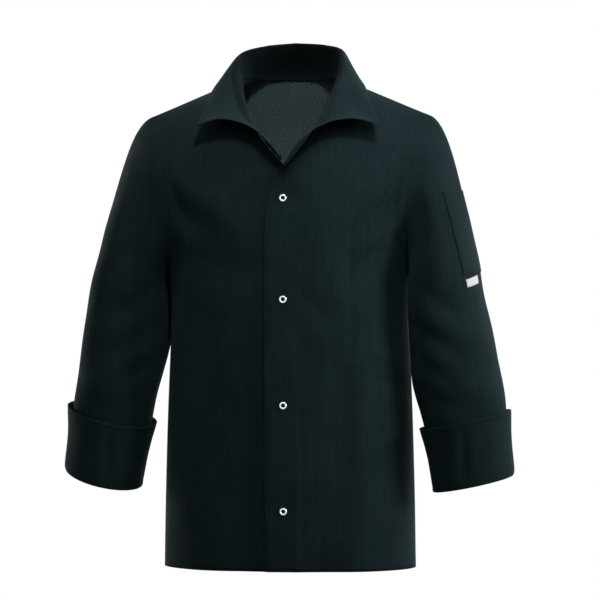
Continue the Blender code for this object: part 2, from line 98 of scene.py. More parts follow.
# The arms' waves start, grow, end and fade at these heights.
ARM_WAVE_TOP, ARM_WAVE_GROWTH, ARM_WAVE_END, ARM_WAVE_FADE = -120, 160, -600, 60
ARM_FINE_LENGTH, ARM_FINE_DEPTH, ARM_SLOW_LENGTH, ARM_SLOW_DEPTH = 15.0, 0.45, 41.0, 1.1
ARM_WAVE_START = {"left": 0.4, "right": 2.1}
FRONT_WAVE_SHARE = 0.8
# The lower front's edge under the upper one: height of its step, place, and where it starts.
STEP_HEIGHT, STEP_PLACE, STEP_WIDTH, STEP_END, STEP_START = 0.9, 22.5, 5, -24, -430
LIFT_WIDTH = 15
CLOSER_HEIGHT, CLOSER_SPREAD, CLOSER_EDGE, CLOSER_FADE = -305, 40, 222, 30
WELD = 2e-6
WING_SIDE_ROWS = 4  # the rows of a wing's side that lie over the front
SLEEVE_CLOSER = 3.5  # how far the left sleeve is drawn in towards the body

FRONT_FORM = (
    # level, out_x, out_y, out_z, lead_x, lead_y, lead_z, tail_x, tail_y, tail_z
    (0, 189, 0, -714, 120, 0, 0, 0, -66, 0),
    (2, 187, 0, -590, 118, 0, 0, 0, -66, 0),
    (4, 182, 0, -430, 116, 0, 0, 0, -68, 0),
    (5, 178, 0, -350, 116, 0, 0, 0, -70, 0),
    (6, 180, 0, -272, 116, 0, 0, 0, -70, 0),
    (7, 179, -24, -262, 110, 0, 0, -4, -54, 1),
    (8, 177, -42, -240, 102, 0, 0, -14, -42, 2),
    (10, 175, -62, -190, 86, 0, 0, -32, -25, 4),
    (12, 180, -65, -139, 70, 0, 4, -46, -14, 8),
    (15, 192, -50, -94, 52, 3, -2, -50, -6, 12),
    (18, 204, -20, -57, 48, 2, -10, -48, -2, 17),
    (20, 210, 4, -40, 45, 0, -18, -45, 0, 18),
)
FRONT_MIDDLE = (
    # level, y, z on the centre line
    (0, -108, -714),
    (2, -113, -590),
    (4, -116, -430),
    (5, -118, -350),
    (6, -119, -272),
    (8, -119, -222),
    (10, -118, -170),
    (12, -115, -121),
)
FRONT_NECK = (
    # level, x, y, z from the bottom of the V to the shoulder seam
    (12, 6, -115, -121),
    (14, 32, -105, -88),
    (16, 54, -80, -50),
    (18, 68, -40, -10),
    (20, 74, 10, 17),
)
# How far each front runs past the centre line, by level.
LEFT_EDGE = ((0, 25), (7, 25), (9, 23.5), (10.5, 15), (11.4, 3), (12, -6))
RIGHT_EDGE = ((0, 25), (7, 25), (9, 25), (10.5, 22), (11.4, 15), (12, 6))
BACK_FORM = (
    # level, out_x, out_y, out_z, lead_x, lead_y, lead_z, tail_x, tail_y, tail_z
    (0, 189, 0, -714, 120, 0, 0, 0, 62, 0),
    (2, 187, 0, -590, 118, 0, 0, 0, 60, 0),
    (4, 182, 0, -430, 116, 0, 0, 0, 60, 0),
    (5, 178, 0, -350, 116, 0, 0, 0, 62, 0),
    (6, 180, 0, -272, 116, 0, 0, 0, 66, 0),
    (7, 180, 24, -260, 110, 0, 0, -4, 50, 1),
    (8, 179, 42, -236, 104, 0, 0, -14, 40, 2),
    (10, 178, 62, -182, 92, 0, 0, -32, 26, 4),
    (12, 183, 64, -138, 80, 0, 2, -44, 15, 10),
    (15, 194, 46, -92, 58, 2, -10, -50, 8, 16),
    (17, 202, 27, -64, 50, 4, -14, -48, 4, 18),
    (20, 210, 4, -40, 45, 0, -18, -45, 0, 18),
)
BACK_MIDDLE = (
    (0, 100, -714),
    (2, 98, -590),
    (4, 97, -430),
    (5, 101, -350),
    (6, 106, -272),
    (9, 111, -180),
    (12, 103, -82),
    (15, 80, 18),
)
BACK_NECK = (
    # level, x, y, z from the nape to the shoulder seam
    (15, 0, 80, 18),
    (17, 43, 70, 19),
    (18.5, 66, 45, 20),
    (20, 74, 10, 17),
)
# Sections of the arms. roll lifts the outer side, drop lowers the front, skew moves it in.
ARM_LEFT = (
    # depth below the origin, centre_x, centre_y, half_width, half_depth, roll, drop, skew
    (300, 236, -30, 53, 64, 10, 0, 14),
    (360, 242, -28, 60, 60, 11, 0, 12),
    (415, 249, -27, 64, 57, 12, 1, 8),
    (470, 260, -28, 62, 54, 12, 3, 4),
    (530, 269, -30, 59, 50, 12, 3, 0),
    (582, 276, -32, 57, 47, 12, 3, 0),
)
ARM_RIGHT = (
    (300, 238, -5, 54, 64, 10, 0, -20),
    (360, 244, -5, 61, 60, 11, 2, -18),
    (415, 254, -6, 63, 57, 12, 6, -10),
    (470, 266, -8, 61, 54, 13, 10, -4),
    (530, 274, -9, 58, 50, 13, 12, 0),
    (577, 281, -9, 56, 47, 13, 13, 0),
)
HEAD_FULLNESS = {"left": 0.14, "right": 0.17}
ARM_TAIL = 0.42
UNDERARM_HEADING = (0.8, 0, -0.6)
CUFF_PROFILE = (
    # place, out, up
    (0, -1.5, -0.6),
    (1, -1.5, -2.8),
    (2, 1.0, -4.9),
    (3, 4.0, -3.8),
    (4, 5.0, 5.0),
    (5, 4.9, 34.0),
    (6, 5.2, 64.0),
    (7, 6.4, 90.0),
)
POCKET_TURN = (42.0, -14.0)
POCKET_SPAN = (-160.0, -281.0)
POCKET_WALL = 0.9
LABEL_TURN = (40.0, 14.0)
LABEL_CLIMB = 4.5  # the tape's far end lies this much higher
LABEL_SPAN = (-288.5, -300.0)
PATCH_RISE = 6.0

# The collar by column: 0 at the bottom of the V, 8 at the shoulder seam, 13 at the nape.
COLLAR_FOLD = {
    # column, x, y, z of the fold
    "right": (
        (0, 6, -119, -117),
        (1, -5, -121, -100),
        (2, -19, -120, -83),
        (3, -34, -115, -69),
        (4, -51, -99, -57),
        (5, -67, -75, -38),
        (6, -79, -45, -11),
        (7, -87, -14, 16),
        (8, -85, 10, 42),
        (9, -79, 35, 56),
        (11, -46, 67, 70),
        (13, 0, 76, 75),
    ),
    "left": (
        (0, 6, -119, -117),
        (1, 18, -121, -97),
        (2, 34, -120, -79),
        (3, 50, -113, -66),
        (4, 63, -97, -57),
        (5, 68, -72, -38),
        (6, 74, -42, -8),
        (7, 80, -14, 22),
        (8, 80, 10, 46),
        (9, 76, 35, 59),
        (11, 46, 67, 71),
        (13, 0, 76, 75),
    ),
}
WING_FRONT = {
    # column, x, y, z of the leaf's front edge, from the V to the tip
    "right": (
        (0, 5, -123, -117),
        (1, -8, -125, -99),
        (2, -23, -125, -82),
        (3, -40, -119, -67),
        (4, -66, -110, -56),
        (5, -97, -101, -52),
        (6, -128, -90, -60),
    ),
    "left": (
        (0, 7, -123, -117),
        (1, 21, -125, -96),
        (2, 38, -125, -78),
        (3, 57, -118, -64),
        (4, 82, -109, -55),
        (5, 111, -99, -52),
        (6, 141, -87, -60),
    ),
}
WING_SIDE = {
    # column, x, y, z of the leaf's outer edge, from the tip to the nape
    "right": (
        (6, -128, -90, -60),
        (7, -119, -46, -25),
        (8, -112, 0, 4),
        (9, -105, 32, 9),
        (10, -87, 61, 10),
        (11, -62, 83, 6),
        (13, 0, 99, 4),
    ),
    "left": (
        (6, 141, -87, -60),
        (7, 124, -46, -24),
        (8, 112, 0, 5),
        (9, 105, 32, 9),
        (10, 87, 61, 10),
        (11, 62, 83, 6),
        (13, 0, 99, 4),
    ),
}
TIP_COLUMN, NAPE_COLUMN = 6, 13

# Soft folds on the front (-1) or the back (1), as curves through three
# points seen square on. A trough has a negative depth.
FOLDS = (
    # face, x0, z0, x1, z1, x2, z2, width, depth
    (-1, -186, -140, -164, -180, -108, -226, 19, -6.5),
    (-1, -150, -140, -110, -180, -60, -200, 28, 4.6),
    (-1, -174, -200, -164, -250, -166, -340, 15, -5.0),
    (-1, -160, -240, -120, -262, -70, -270, 22, -3.4),
    (-1, 168, -225, 162, -280, 166, -370, 16, -2.4),
    (-1, 172, -150, 136, -200, 98, -240, 18, -6.6),
    (-1, 160, -232, 132, -250, 104, -284, 18, -4.6),
    (-1, 62, -96, 40, -140, 16, -176, 16, 2.4),
    (-1, 20, -300, 50, -330, 96, -352, 15, -1.9),
    (-1, -18, -318, -58, -344, -110, -352, 17, -1.6),
    (-1, 14, -478, 52, -500, 88, -560, 18, -1.6),
    (-1, 10, -332, 34, -380, 40, -440, 16, -1.5),
    (-1, -120, -340, -96, -460, -110, -640, 26, -4.4),
    (-1, -60, -400, -48, -540, -62, -700, 22, -3.2),
    (-1, 78, -360, 92, -500, 84, -700, 24, -4.0),
    (-1, 140, -360, 148, -500, 136, -690, 22, -3.6),
    (-1, 118, -420, 114, -560, 118, -716, 20, 1.8),
    (-1, -150, -420, -146, -560, -150, -716, 20, 2.0),
    (1, -178, -150, -130, -220, -60, -300, 26, -4.4),
    (1, 178, -150, 136, -214, 70, -290, 26, -4.0),
    (1, -176, -215, -150, -300, -120, -420, 20, -3.4),
    (1, 176, -215, 152, -310, 126, -440, 20, -3.6),
    (1, -70, -340, -10, -352, 60, -336, 22, -2.4),
    (1, -50, -392, 10, -402, 70, -388, 20, -1.8),
    (1, -40, -440, -62, -560, -48, -712, 28, -3.0),
    (1, 64, -430, 50, -560, 70, -712, 26, -2.8),
    (1, 128, -470, 136, -600, 128, -714, 22, 2.0),
    (1, -124, -480, -130, -600, -122, -714, 22, 2.0),
)
ARM_FOLDS = (
    # face, x0, z0, x1, z1, x2, z2, width, depth
    (-1, 188, -108, 200, -190, 190, -290, 17, -3.6),
    (-1, 204, -70, 232, -120, 244, -200, 22, -2.4),
    (-1, 205, -300, 236, -330, 268, -330, 15, -3.4),
    (-1, 196, -352, 232, -384, 282, -398, 16, -3.8),
    (-1, 190, -398, 224, -426, 262, -430, 14, -2.8),
    (-1, 236, -404, 272, -440, 316, -448, 17, 2.4),
    (-1, 214, -452, 250, -478, 300, -474, 15, -2.4),
    (1, 190, -120, 214, -200, 206, -290, 18, -3.6),
    (1, 200, -330, 236, -358, 280, -350, 16, -3.6),
    (1, 194, -390, 236, -420, 290, -410, 16, -3.2),
    (1, 208, -446, 250, -470, 306, -456, 15, -2.6),
)
CUFF_FOLDS = (
    (-1, 262, -500, 266, -540, 264, -600, 9, -2.2),
    (-1, 304, -500, 308, -540, 306, -600, 12, 1.2),
    (1, 254, -500, 258, -540, 256, -600, 12, -1.8),
    (1, 300, -500, 304, -540, 300, -600, 14, -1.2),
)
# Where the upper front lifts off the lower one along its edge.
EDGE_LIFT = ((-720, 1.8), (-640, 2.4), (-560, 2.2), (-500, 0.8), (-440, 2.4), (-400, 1.2),
             (-300, 0.5), (-200, 0.8), (-120, 0.3))  # fmt: skip


# Linear colours that the settings don't hold.
THREAD_COLOUR = (0.0045, 0.007, 0.008)
BLACK_KNIT = (0.015, 0.021, 0.0225)
TAPE_WHITE = (0.80, 0.80, 0.80)
DARK_METAL = (0.12, 0.12, 0.125)


# ---------------------------------------------------------------- curves and surfaces


def smooth(rows, at, flat_end=()):
    """A smooth curve through a table's rows, read at values of its first column."""
    table = np.array(rows, float)
    keys, values = table[:, 0], table[:, 1:]
    steps = np.diff(keys)[:, None]
    chords = np.diff(values, axis=0) / steps
    slopes = np.vstack([chords[:1], chords[-1:]])
    if len(keys) > 2:
        inner = (chords[:-1] * steps[1:] + chords[1:] * steps[:-1]) / (steps[1:] + steps[:-1])
        slopes = np.vstack([chords[:1], inner, chords[-1:]])
    slopes[-1, list(flat_end)] = 0
    at = np.asarray(at, float)
    i = np.clip(np.searchsorted(keys, at, side="right") - 1, 0, len(keys) - 2)
    width = np.asarray(keys[i + 1] - keys[i])[..., None]
    t = np.asarray(at - keys[i])[..., None] / width
    return (
        (2 * t**3 - 3 * t**2 + 1) * values[i]
        + (t**3 - 2 * t**2 + t) * width * slopes[i]
        + (3 * t**2 - 2 * t**3) * values[i + 1]
        + (t**3 - t**2) * width * slopes[i + 1]
    )


def seam_path(rows, level):
    if level <= ARMPIT_LEVEL:
        return smooth([row[:4] for row in rows if row[0] <= ARMPIT_LEVEL], level)
    return smooth([row[:4] for row in rows if row[0] >= ARMPIT_LEVEL], level, flat_end=(2,))


def bezier(start, lead, tail, end, t):
    t = np.asarray(t, float)[..., None]
    return start * (1 - t) ** 3 + lead * 3 * t * (1 - t) ** 2 + tail * 3 * t**2 * (1 - t) + end * t**3


def unit(vector):
    return vector / np.maximum(np.linalg.norm(vector, axis=-1, keepdims=True), 1e-9)


def ease(value):
    value = np.clip(value, 0, 1)
    return value * value * (3 - 2 * value)


def mirrored(points):
    return points * np.array([-1, 1, 1])


def front_rows(level, t, left):
    out, form = seam_path(FRONT_FORM, level), smooth(FRONT_FORM, level)
    lead, tail = form[3:6], form[6:9]
    if level <= V_LEVEL:
        past = smooth(LEFT_EDGE if left else RIGHT_EDGE, level)[0]
        y, z = smooth(FRONT_MIDDLE, level)
        start = np.array([-past, y + past**2 / (2 * FRONT_RADIUS), z])
        lead = lead + np.array([past * 0.5, -past * lead[0] / FRONT_RADIUS, 0])
    else:
        start = smooth(FRONT_NECK, level, flat_end=(2,))
        if not left:
            fade = (SHOULDER_LEVEL - level) / (SHOULDER_LEVEL - V_LEVEL)
            start = start - np.array([UNDER_NECK_SHIFT * fade**1.5, 0, 0])
    points = bezier(start, start + lead, out + tail, out, t)
    if not left:
        near = ease(1 - (points[..., 0] - LAYER_REACH) / LAYER_FADE)
        low = np.clip((V_LEVEL + 2 - level) / 2, 0, 1)
        points[..., 1] += LAYER_STEP * near * low
        points = mirrored(points)
    return points


def back_rows(level, t):
    out, form = seam_path(BACK_FORM, level), smooth(BACK_FORM, level)
    if level <= NAPE_LEVEL:
        start = np.array([0, *smooth(BACK_MIDDLE, level)])
    else:
        start = smooth(BACK_NECK, level)
    return bezier(start, start + form[3:6], out + form[6:9], out, t)


def drawn_back(grid, outer=SEAM / 2, top=SHOULDER_TRIM):
    """The grid drawn back from its outer seam and from the shoulder seam."""
    grid = grid.copy()
    whole = slice(None)
    for edge, inside, trim in (((whole, -1), (whole, -4), outer), ((-1, whole), (-4, whole), top)):
        grid[edge] = grid[edge] + unit(grid[inside] - grid[edge]) * trim
    return grid


def eased_rows(grid, t, spread=5.0):
    """The grid with the turns between its rows evened out, away from its two side edges."""
    reach = int(3 * spread)
    weights = np.exp(-0.5 * (np.arange(-reach, reach + 1) / spread) ** 2)
    weights /= weights.sum()
    rows = len(grid)
    even = np.zeros_like(grid)
    for shift, weight in zip(range(-reach, reach + 1), weights):
        place = np.arange(rows) + shift
        inside = np.clip(place, 0, rows - 1)
        # Past either end the rows run on, mirrored through the end row.
        beyond = np.clip(2 * inside - place, 0, rows - 1)
        even += weight * np.where(
            (place == inside)[:, None, None], grid[inside], 2 * grid[inside] - grid[beyond]
        )
    blend = (ease(t / 0.12) * ease((1 - t) / 0.1))[None, :, None]
    return grid * (1 - blend) + even * blend


def armhole():
    """Armhole loop of the left side, the way the panels arrive there, and turns round it."""
    levels = np.linspace(ARMPIT_LEVEL, SHOULDER_LEVEL, 60)
    ends = [front_rows(v, np.array([1, 0.985]), True) for v in levels]
    ends += [back_rows(v, np.array([1, 0.985])) for v in levels[-2:0:-1]]
    ends = np.array(ends)
    loop, heading = ends[:, 0], unit(ends[:, 0] - ends[:, 1])
    along = np.concatenate([[0], np.cumsum(np.linalg.norm(np.diff(loop, axis=0), axis=1))])
    top = along[len(levels) - 1]
    whole = along[-1] + np.linalg.norm(loop[0] - loop[-1])
    turns = np.where(
        along <= top, math.pi * (1 - along / top), -math.pi * (along - top) / (whole - top)
    )
    under = (np.abs(turns) / math.pi)[:, None] ** 2
    return loop, heading * (1 - under) + np.array(UNDERARM_HEADING) * under, turns


def arm_points(arm, depth, turns, out=0.0):
    cx, cy, wide, deep, roll, drop, skew = smooth(arm, depth)
    front, side, tilt = np.sin(turns), np.cos(turns), math.radians(roll)
    x = cx + (wide + out) * side * math.cos(tilt) - skew * front
    y = cy - (deep + out) * front
    z = -depth + (wide + out) * side * math.sin(tilt) - drop * front
    return np.stack([x, y, z], axis=-1)


def sleeve_surface(arm, fullness):
    """Rows from the armhole to the sleeve's end, columns round the arm."""
    loop, headings, turns = armhole()
    top, bottom = arm[0][0], arm[-1][0]
    end = arm_points(arm, top, turns)
    down = unit(arm_points(arm, top + 12, turns) - end)
    reach = np.linalg.norm(end - loop, axis=1, keepdims=True)
    rows = []
    head = np.linspace(0, 1, SLEEVE_HEAD_STEPS)
    for step in (*head, *np.linspace(1, 2, SLEEVE_STEPS)[1:]):
        if step <= 1:
            lead, tail = loop + headings * reach * fullness, end - down * reach * ARM_TAIL
            rows.append(bezier(loop, lead, tail, end, np.full(len(loop), step)))
        else:
            rows.append(arm_points(arm, top + (bottom - top) * (step - 1), turns))
    grid = np.array(rows)
    grid[0] = grid[0] + unit(grid[1] - grid[0]) * SEAM / 2
    return grid, turns


def neck_columns(left):
    """Neck edge from the V to the nape, with the way into the panel and the normal."""
    rising = [v for v in range(V_LEVEL, SHOULDER_LEVEL + 1)]
    falling = [v for v in range(SHOULDER_LEVEL - 1, NAPE_LEVEL - 1, -1)]
    side = np.array([1 if left else -1, 1, 1])
    rows = [front_rows(v, np.array([0, 0.04]), left) for v in rising]
    rows += [back_rows(v, np.array([0, 0.04])) * side for v in falling]
    edges = [row[0] for row in rows]
    inner = [row[1] for row in rows]
    inner[-1] = back_rows(NAPE_LEVEL - 1, np.array([0]))[0]
    nexts = [*edges[1:], edges[-2] * np.array([-1, 1, 1])]
    columns = []
    for place, edge in enumerate(edges):
        along = unit(nexts[place] - edges[max(place - 1, 0)])
        across = inner[place] - edge
        across = unit(across - along * np.dot(across, along))
        normal = np.cross(along, across)
        faces_in = normal[1] > 0 if place <= CHEST_COLUMNS else normal[2] < 0
        columns.append((place, *edge, *across, *(-normal if faces_in else normal)))
    return columns


def collar_section(values, fold, tip):
    edge, across, normal = values[0:3], unit(values[3:6]), unit(values[6:9])
    low = edge - across * NECK_GAP - normal * STAND_BELOW
    high = edge - across * NECK_GAP + normal * STAND_ABOVE
    outward = unit(np.array([fold[0], fold[1] - NECK_MIDDLE, 0]))
    rise = np.linalg.norm(fold - high)
    reach = min(FOLD_ROUND, 0.5 * rise)
    lead = high + normal * rise * STAND_LEAD
    stand = bezier(high, lead, fold - outward * reach, fold, np.linspace(0, 1, 17))
    fall = np.linalg.norm(tip - fold)
    turn = min(FOLD_ROUND, 0.4 * fall)
    tail = tip + (fold - tip) * LEAF_TAIL
    leaf = bezier(fold, fold + outward * turn, tail, tip, np.linspace(0, 1, 21)[1:] ** 1.4)
    return np.vstack([low, stand, leaf])


def collar_surface():
    sections = []
    for side in ("right", "left"):
        columns = neck_columns(side == "left")
        first = 0 if side == "left" else RIGHT_END
        places = np.linspace(first, NAPE_COLUMN, COLLAR_COLUMNS[side])
        places[np.argmin(np.abs(places - TIP_COLUMN))] = TIP_COLUMN
        half = []
        for place in places:
            edge = WING_FRONT[side] if place <= TIP_COLUMN else WING_SIDE[side]
            fold = smooth(COLLAR_FOLD[side], place)
            half.append(collar_section(smooth(columns, place), fold, smooth(edge, place)))
        sections += half if side == "right" else half[-2::-1]
    return np.array(sections)


# ---------------------------------------------------------------- drape


def grid_normals(grid, flip=False, closed=False):
    if closed:
        wide = np.concatenate([grid[:, -1:], grid, grid[:, :1]], axis=1)
        across = (wide[:, 2:] - wide[:, :-2]) / 2
    else:
        across = np.gradient(grid, axis=1)
    normal = unit(np.cross(across, np.gradient(grid, axis=0)))
    return -normal if flip else normal


def fold_depth(points, normals, table, strength):
    """How far the listed folds push each point along its normal."""
    depth = np.zeros(points.shape[:-1])
    t = np.linspace(0, 1, 17)
    for face, *curve, width, height in table:
        start, middle, end = np.array(curve, float).reshape(3, 2)
        curve = bezier(
            start, start + (middle - start) * FOLD_PULL[0],
            end + (middle - end) * FOLD_PULL[1], end, t,
        )  # fmt: skip
        away = points[..., None, [0, 2]] - curve
        distance = np.linalg.norm(away, axis=-1)
        nearest = np.argmin(distance, axis=-1)
        distance = np.take_along_axis(distance, nearest[..., None], axis=-1)[..., 0]
        place = t[nearest]
        spread = width * (FOLD_SPREAD + FOLD_WIDENING * place)
        taper = FOLD_END + (1 - FOLD_END) * np.sin(math.pi * np.clip(place, 0.04, 0.96)) ** 0.7
        facing = ease(face * normals[..., 1] * FOLD_FACING)
        depth += height * strength * taper * np.exp(-((distance / spread) ** 2)) * facing
    return depth


def snap_clear(points):
    """0 at the snaps and 1 away from them, so that the cloth is flat where they hold it."""
    clear = np.ones(points.shape[:-1])
    for z in SNAP_HEIGHTS:
        distance = np.hypot(points[..., 0] - SNAP_X, points[..., 2] - z)
        clear *= np.where(points[..., 1] < 0, ease((distance - SNAP_FLAT) / SNAP_FADE), 1)
    return clear


def seam_clear(grid):
    """0 along the side seam and armhole and 1 away from them, so that the seams stay shut."""
    across = arc(grid, 1)
    return ease((across[:, -1:] - across) / SEAM_CALM)


def body_waves(points):
    """Broad soft waves of the body that grow towards the hem."""
    x, y, z = points[..., 0], points[..., 1], points[..., 2]
    low = ease((WAVE_TOP - z) / WAVE_GROWTH)
    side = np.where(y < 0, 1.0, -1.0)
    wave = np.sin(x / FINE_LENGTH + 0.9 * np.sin(z / 130.0) * side + 1.2 * side)
    broad = np.sin(x / BROAD_LENGTH + z / 210.0 + side)
    depth = FINE_DEPTH * wave + BROAD_DEPTH * broad
    return low * depth * ease((WAVE_SIDE - np.abs(x)) / WAVE_FADE)


def arm_waves(points, turns, start):
    """Soft waves round the arms, calm at the armhole and at the sleeve's end."""
    z = points[..., 2]
    wave = np.sin(z / ARM_FINE_LENGTH + 1.6 * np.sin(turns * 2 + start) + start)
    slow = np.sin(z / ARM_SLOW_LENGTH + 2.0 * turns + start)
    grown = ease((ARM_WAVE_TOP - z) / ARM_WAVE_GROWTH) * ease((z - ARM_WAVE_END) / ARM_WAVE_FADE)
    return grown * (ARM_FINE_DEPTH * wave + ARM_SLOW_DEPTH * slow)


# ---------------------------------------------------------------- meshes


def arc(grid, axis):
    """Distance along the grid from its first row or column."""
    steps = np.linalg.norm(np.diff(grid, axis=axis), axis=-1)
    zero = np.zeros_like(np.take(steps, [0], axis=axis))
    return np.concatenate([zero, np.cumsum(steps, axis=axis)], axis=axis)


def add_patch(shape, grid, stitch, closed=False, flip=False, shade=None):
    """A grid of points in the bmesh, with its cloth coordinates and stitch distances."""
    shade = np.ones(grid.shape[:2]) if shade is None else shade
    if closed:
        grid = np.concatenate([grid, grid[:, :1]], axis=1)
        stitch = np.concatenate([stitch, stitch[:, :1]], axis=1)
        shade = np.concatenate([shade, shade[:, :1]], axis=1)
    rows, columns = grid.shape[:2]
    made = bmesh.ops.create_grid(shape, x_segments=columns - 1, y_segments=rows - 1, size=1)
    ordered = sorted(made["verts"], key=lambda v: (round(v.co.y, 5), round(v.co.x, 5)))
    u, v = arc(grid, 1), arc(grid, 0)
    u = u - u[:, columns // 2 : columns // 2 + 1] if not closed else u
    near = shape.verts.layers.float["stitch"]
    # The 'shade' layer carries painted shade: below 1 the colour is darkened, under the collar wings
    # and inside the collar stand.
    depth = shape.verts.layers.float["shade"]
    cloth = shape.loops.layers.uv["cloth"]
    for index, vert in enumerate(ordered):
        row, column = divmod(index, columns)
        vert.co = Vector(grid[row, column] * MM)
        vert[near] = stitch[row, column]
        vert[depth] = shade[row, column]
        for loop in vert.link_loops:
            loop[cloth].uv = (u[row, column] * MM, v[row, column] * MM)
    if flip:
        bmesh.ops.reverse_faces(shape, faces=list({f for vert in ordered for f in vert.link_faces}))


def new_shape():
    shape = bmesh.new()
    shape.verts.layers.float.new("stitch")
    shape.verts.layers.float.new("shade")
    shape.loops.layers.uv.new("cloth")
    return shape


def to_piece(name, shape, materials, wall=None):
    bmesh.ops.remove_doubles(shape, verts=shape.verts, dist=WELD)
    mesh = bpy.data.meshes.new(name)
    shape.to_mesh(mesh)
    shape.free()
    mesh.shade_smooth()
    piece = bpy.data.objects.new(name, mesh)
    bpy.context.scene.collection.objects.link(piece)
    for surface in materials:
        mesh.materials.append(surface)
    if wall:
        shell = piece.modifiers.new("wall", "SOLIDIFY")
        shell.thickness = wall * MM
        shell.offset = -1.0
        if len(materials) > 1:
            shell.material_offset = 1
    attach(piece, BODY)
    return piece


def cloth_piece(name, patches, materials, wall, node):
    shape = new_shape()
    for grid, stitch, closed, flip, *shade in patches:
        add_patch(shape, grid, stitch, closed, flip, *shade)
    piece = to_piece(name, shape, materials, wall)
    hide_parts(node)
    return piece


def cut_of(patches):
    """Width, length and area of the cut in metres, from its rows, columns and faces."""
    width = length = area = 0.0
    for grid, _, closed, *_ in patches:
        ring = np.concatenate([grid, grid[:, :1]], axis=1) if closed else grid
        width += arc(ring, 1)[:, -1].max()
        length = max(length, arc(ring, 0)[-1].max())
        one = np.cross(ring[1:, 1:] - ring[:-1, :-1], ring[1:, :-1] - ring[:-1, 1:])
        area += np.linalg.norm(one, axis=-1).sum() / 2
    return (width * MM, length * MM), area * MM * MM


def declare(patches):
    flat, area = cut_of(patches)
    min(area, flat[0] * flat[1])  # fmt: skip


def thread(name, lines, surface, pitch):
    """Topstitching: a thread that rises out of the cloth and dips back once a stitch."""
    shape = new_shape()
    for path, normals in lines:
        along = arc(path[None], 1)[0]
        count = max(2, int(along[-1] / pitch))
        at = np.linspace(0, along[-1], count * THREAD_STEPS + 1)
        line = np.stack([np.interp(at, along, path[:, k]) for k in range(3)], axis=-1)
        up = unit(np.stack([np.interp(at, along, normals[:, k]) for k in range(3)], axis=-1))
        ahead = unit(np.gradient(line, axis=0))
        beside = unit(np.cross(ahead, up))
        phase = (at / along[-1] * count) % 1
        shown = np.sin(math.pi * phase) ** 0.5
        lift = -THREAD_WIRE * 1.3 + shown * THREAD_WIRE * 1.6
        grid = []
        for k in range(THREAD_SIDES):
            angle = 2 * math.pi * k / THREAD_SIDES
            ring = up * (lift + THREAD_WIRE * math.sin(angle))[:, None]
            grid.append(line + ring + beside * THREAD_WIRE * math.cos(angle))
        grid = np.array(grid).transpose(1, 0, 2)
        add_patch(shape, grid, np.full(grid.shape[:2], UNSTITCHED), closed=True)
    bmesh.ops.remove_doubles(shape, verts=shape.verts, dist=WELD)
    ends = [edge for edge in shape.edges if edge.is_boundary]
    bmesh.ops.holes_fill(shape, edges=ends, sides=0)
    bmesh.ops.recalc_face_normals(shape, faces=shape.faces)
    piece = to_piece(name, shape, [surface])
    return piece


def stitch_row(grid, normals, inset, edge):
    """The line that lies a distance inside one edge of a grid, with its normals."""
    points, ups = grid, normals
    if edge.endswith("row"):
        points, ups = grid.transpose(1, 0, 2), normals.transpose(1, 0, 2)
    if edge.startswith("last"):
        points, ups = points[:, ::-1], ups[:, ::-1]
    far = arc(points, 1)
    out, lift = [], []
    for row in range(len(points)):
        out.append([np.interp(inset, far[row], points[row, :, k]) for k in range(3)])
        lift.append([np.interp(inset, far[row], ups[row, :, k]) for k in range(3)])
    return np.array(out), np.array(lift)


def edge_distance(grid, edges):
    """Distance of each point from the nearest of the named edges."""
    across, along = arc(grid, 1), arc(grid, 0)
    ways = {
        "first_column": across,
        "last_column": across[:, -1:] - across,
        "first_row": along,
        "last_row": along[-1:] - along,
    }
    return np.minimum.reduce([ways[edge] for edge in edges] + [np.full(grid.shape[:2], UNSTITCHED)])


# ---------------------------------------------------------------- shader helper


class Wire:
    """A node's output that can be used in arithmetic."""

    def __init__(self, kit, socket):
        self.kit, self.socket = kit, socket

    def math(self, operation, first, second=0.0):
        return self.kit.node("ShaderNodeMath", {"operation": operation}, {0: first, 1: second})

    def __add__(self, other):
        return self.math("ADD", self, other)

    __radd__ = __add__

    def __sub__(self, other):
        return self.math("SUBTRACT", self, other)

    def __rsub__(self, other):
        return self.math("SUBTRACT", other, self)

    def __mul__(self, other):
        return self.math("MULTIPLY", self, other)

    __rmul__ = __mul__

    def sine(self):
        return self.math("SINE", self)

    def absolute(self):
        return self.math("ABSOLUTE", self)


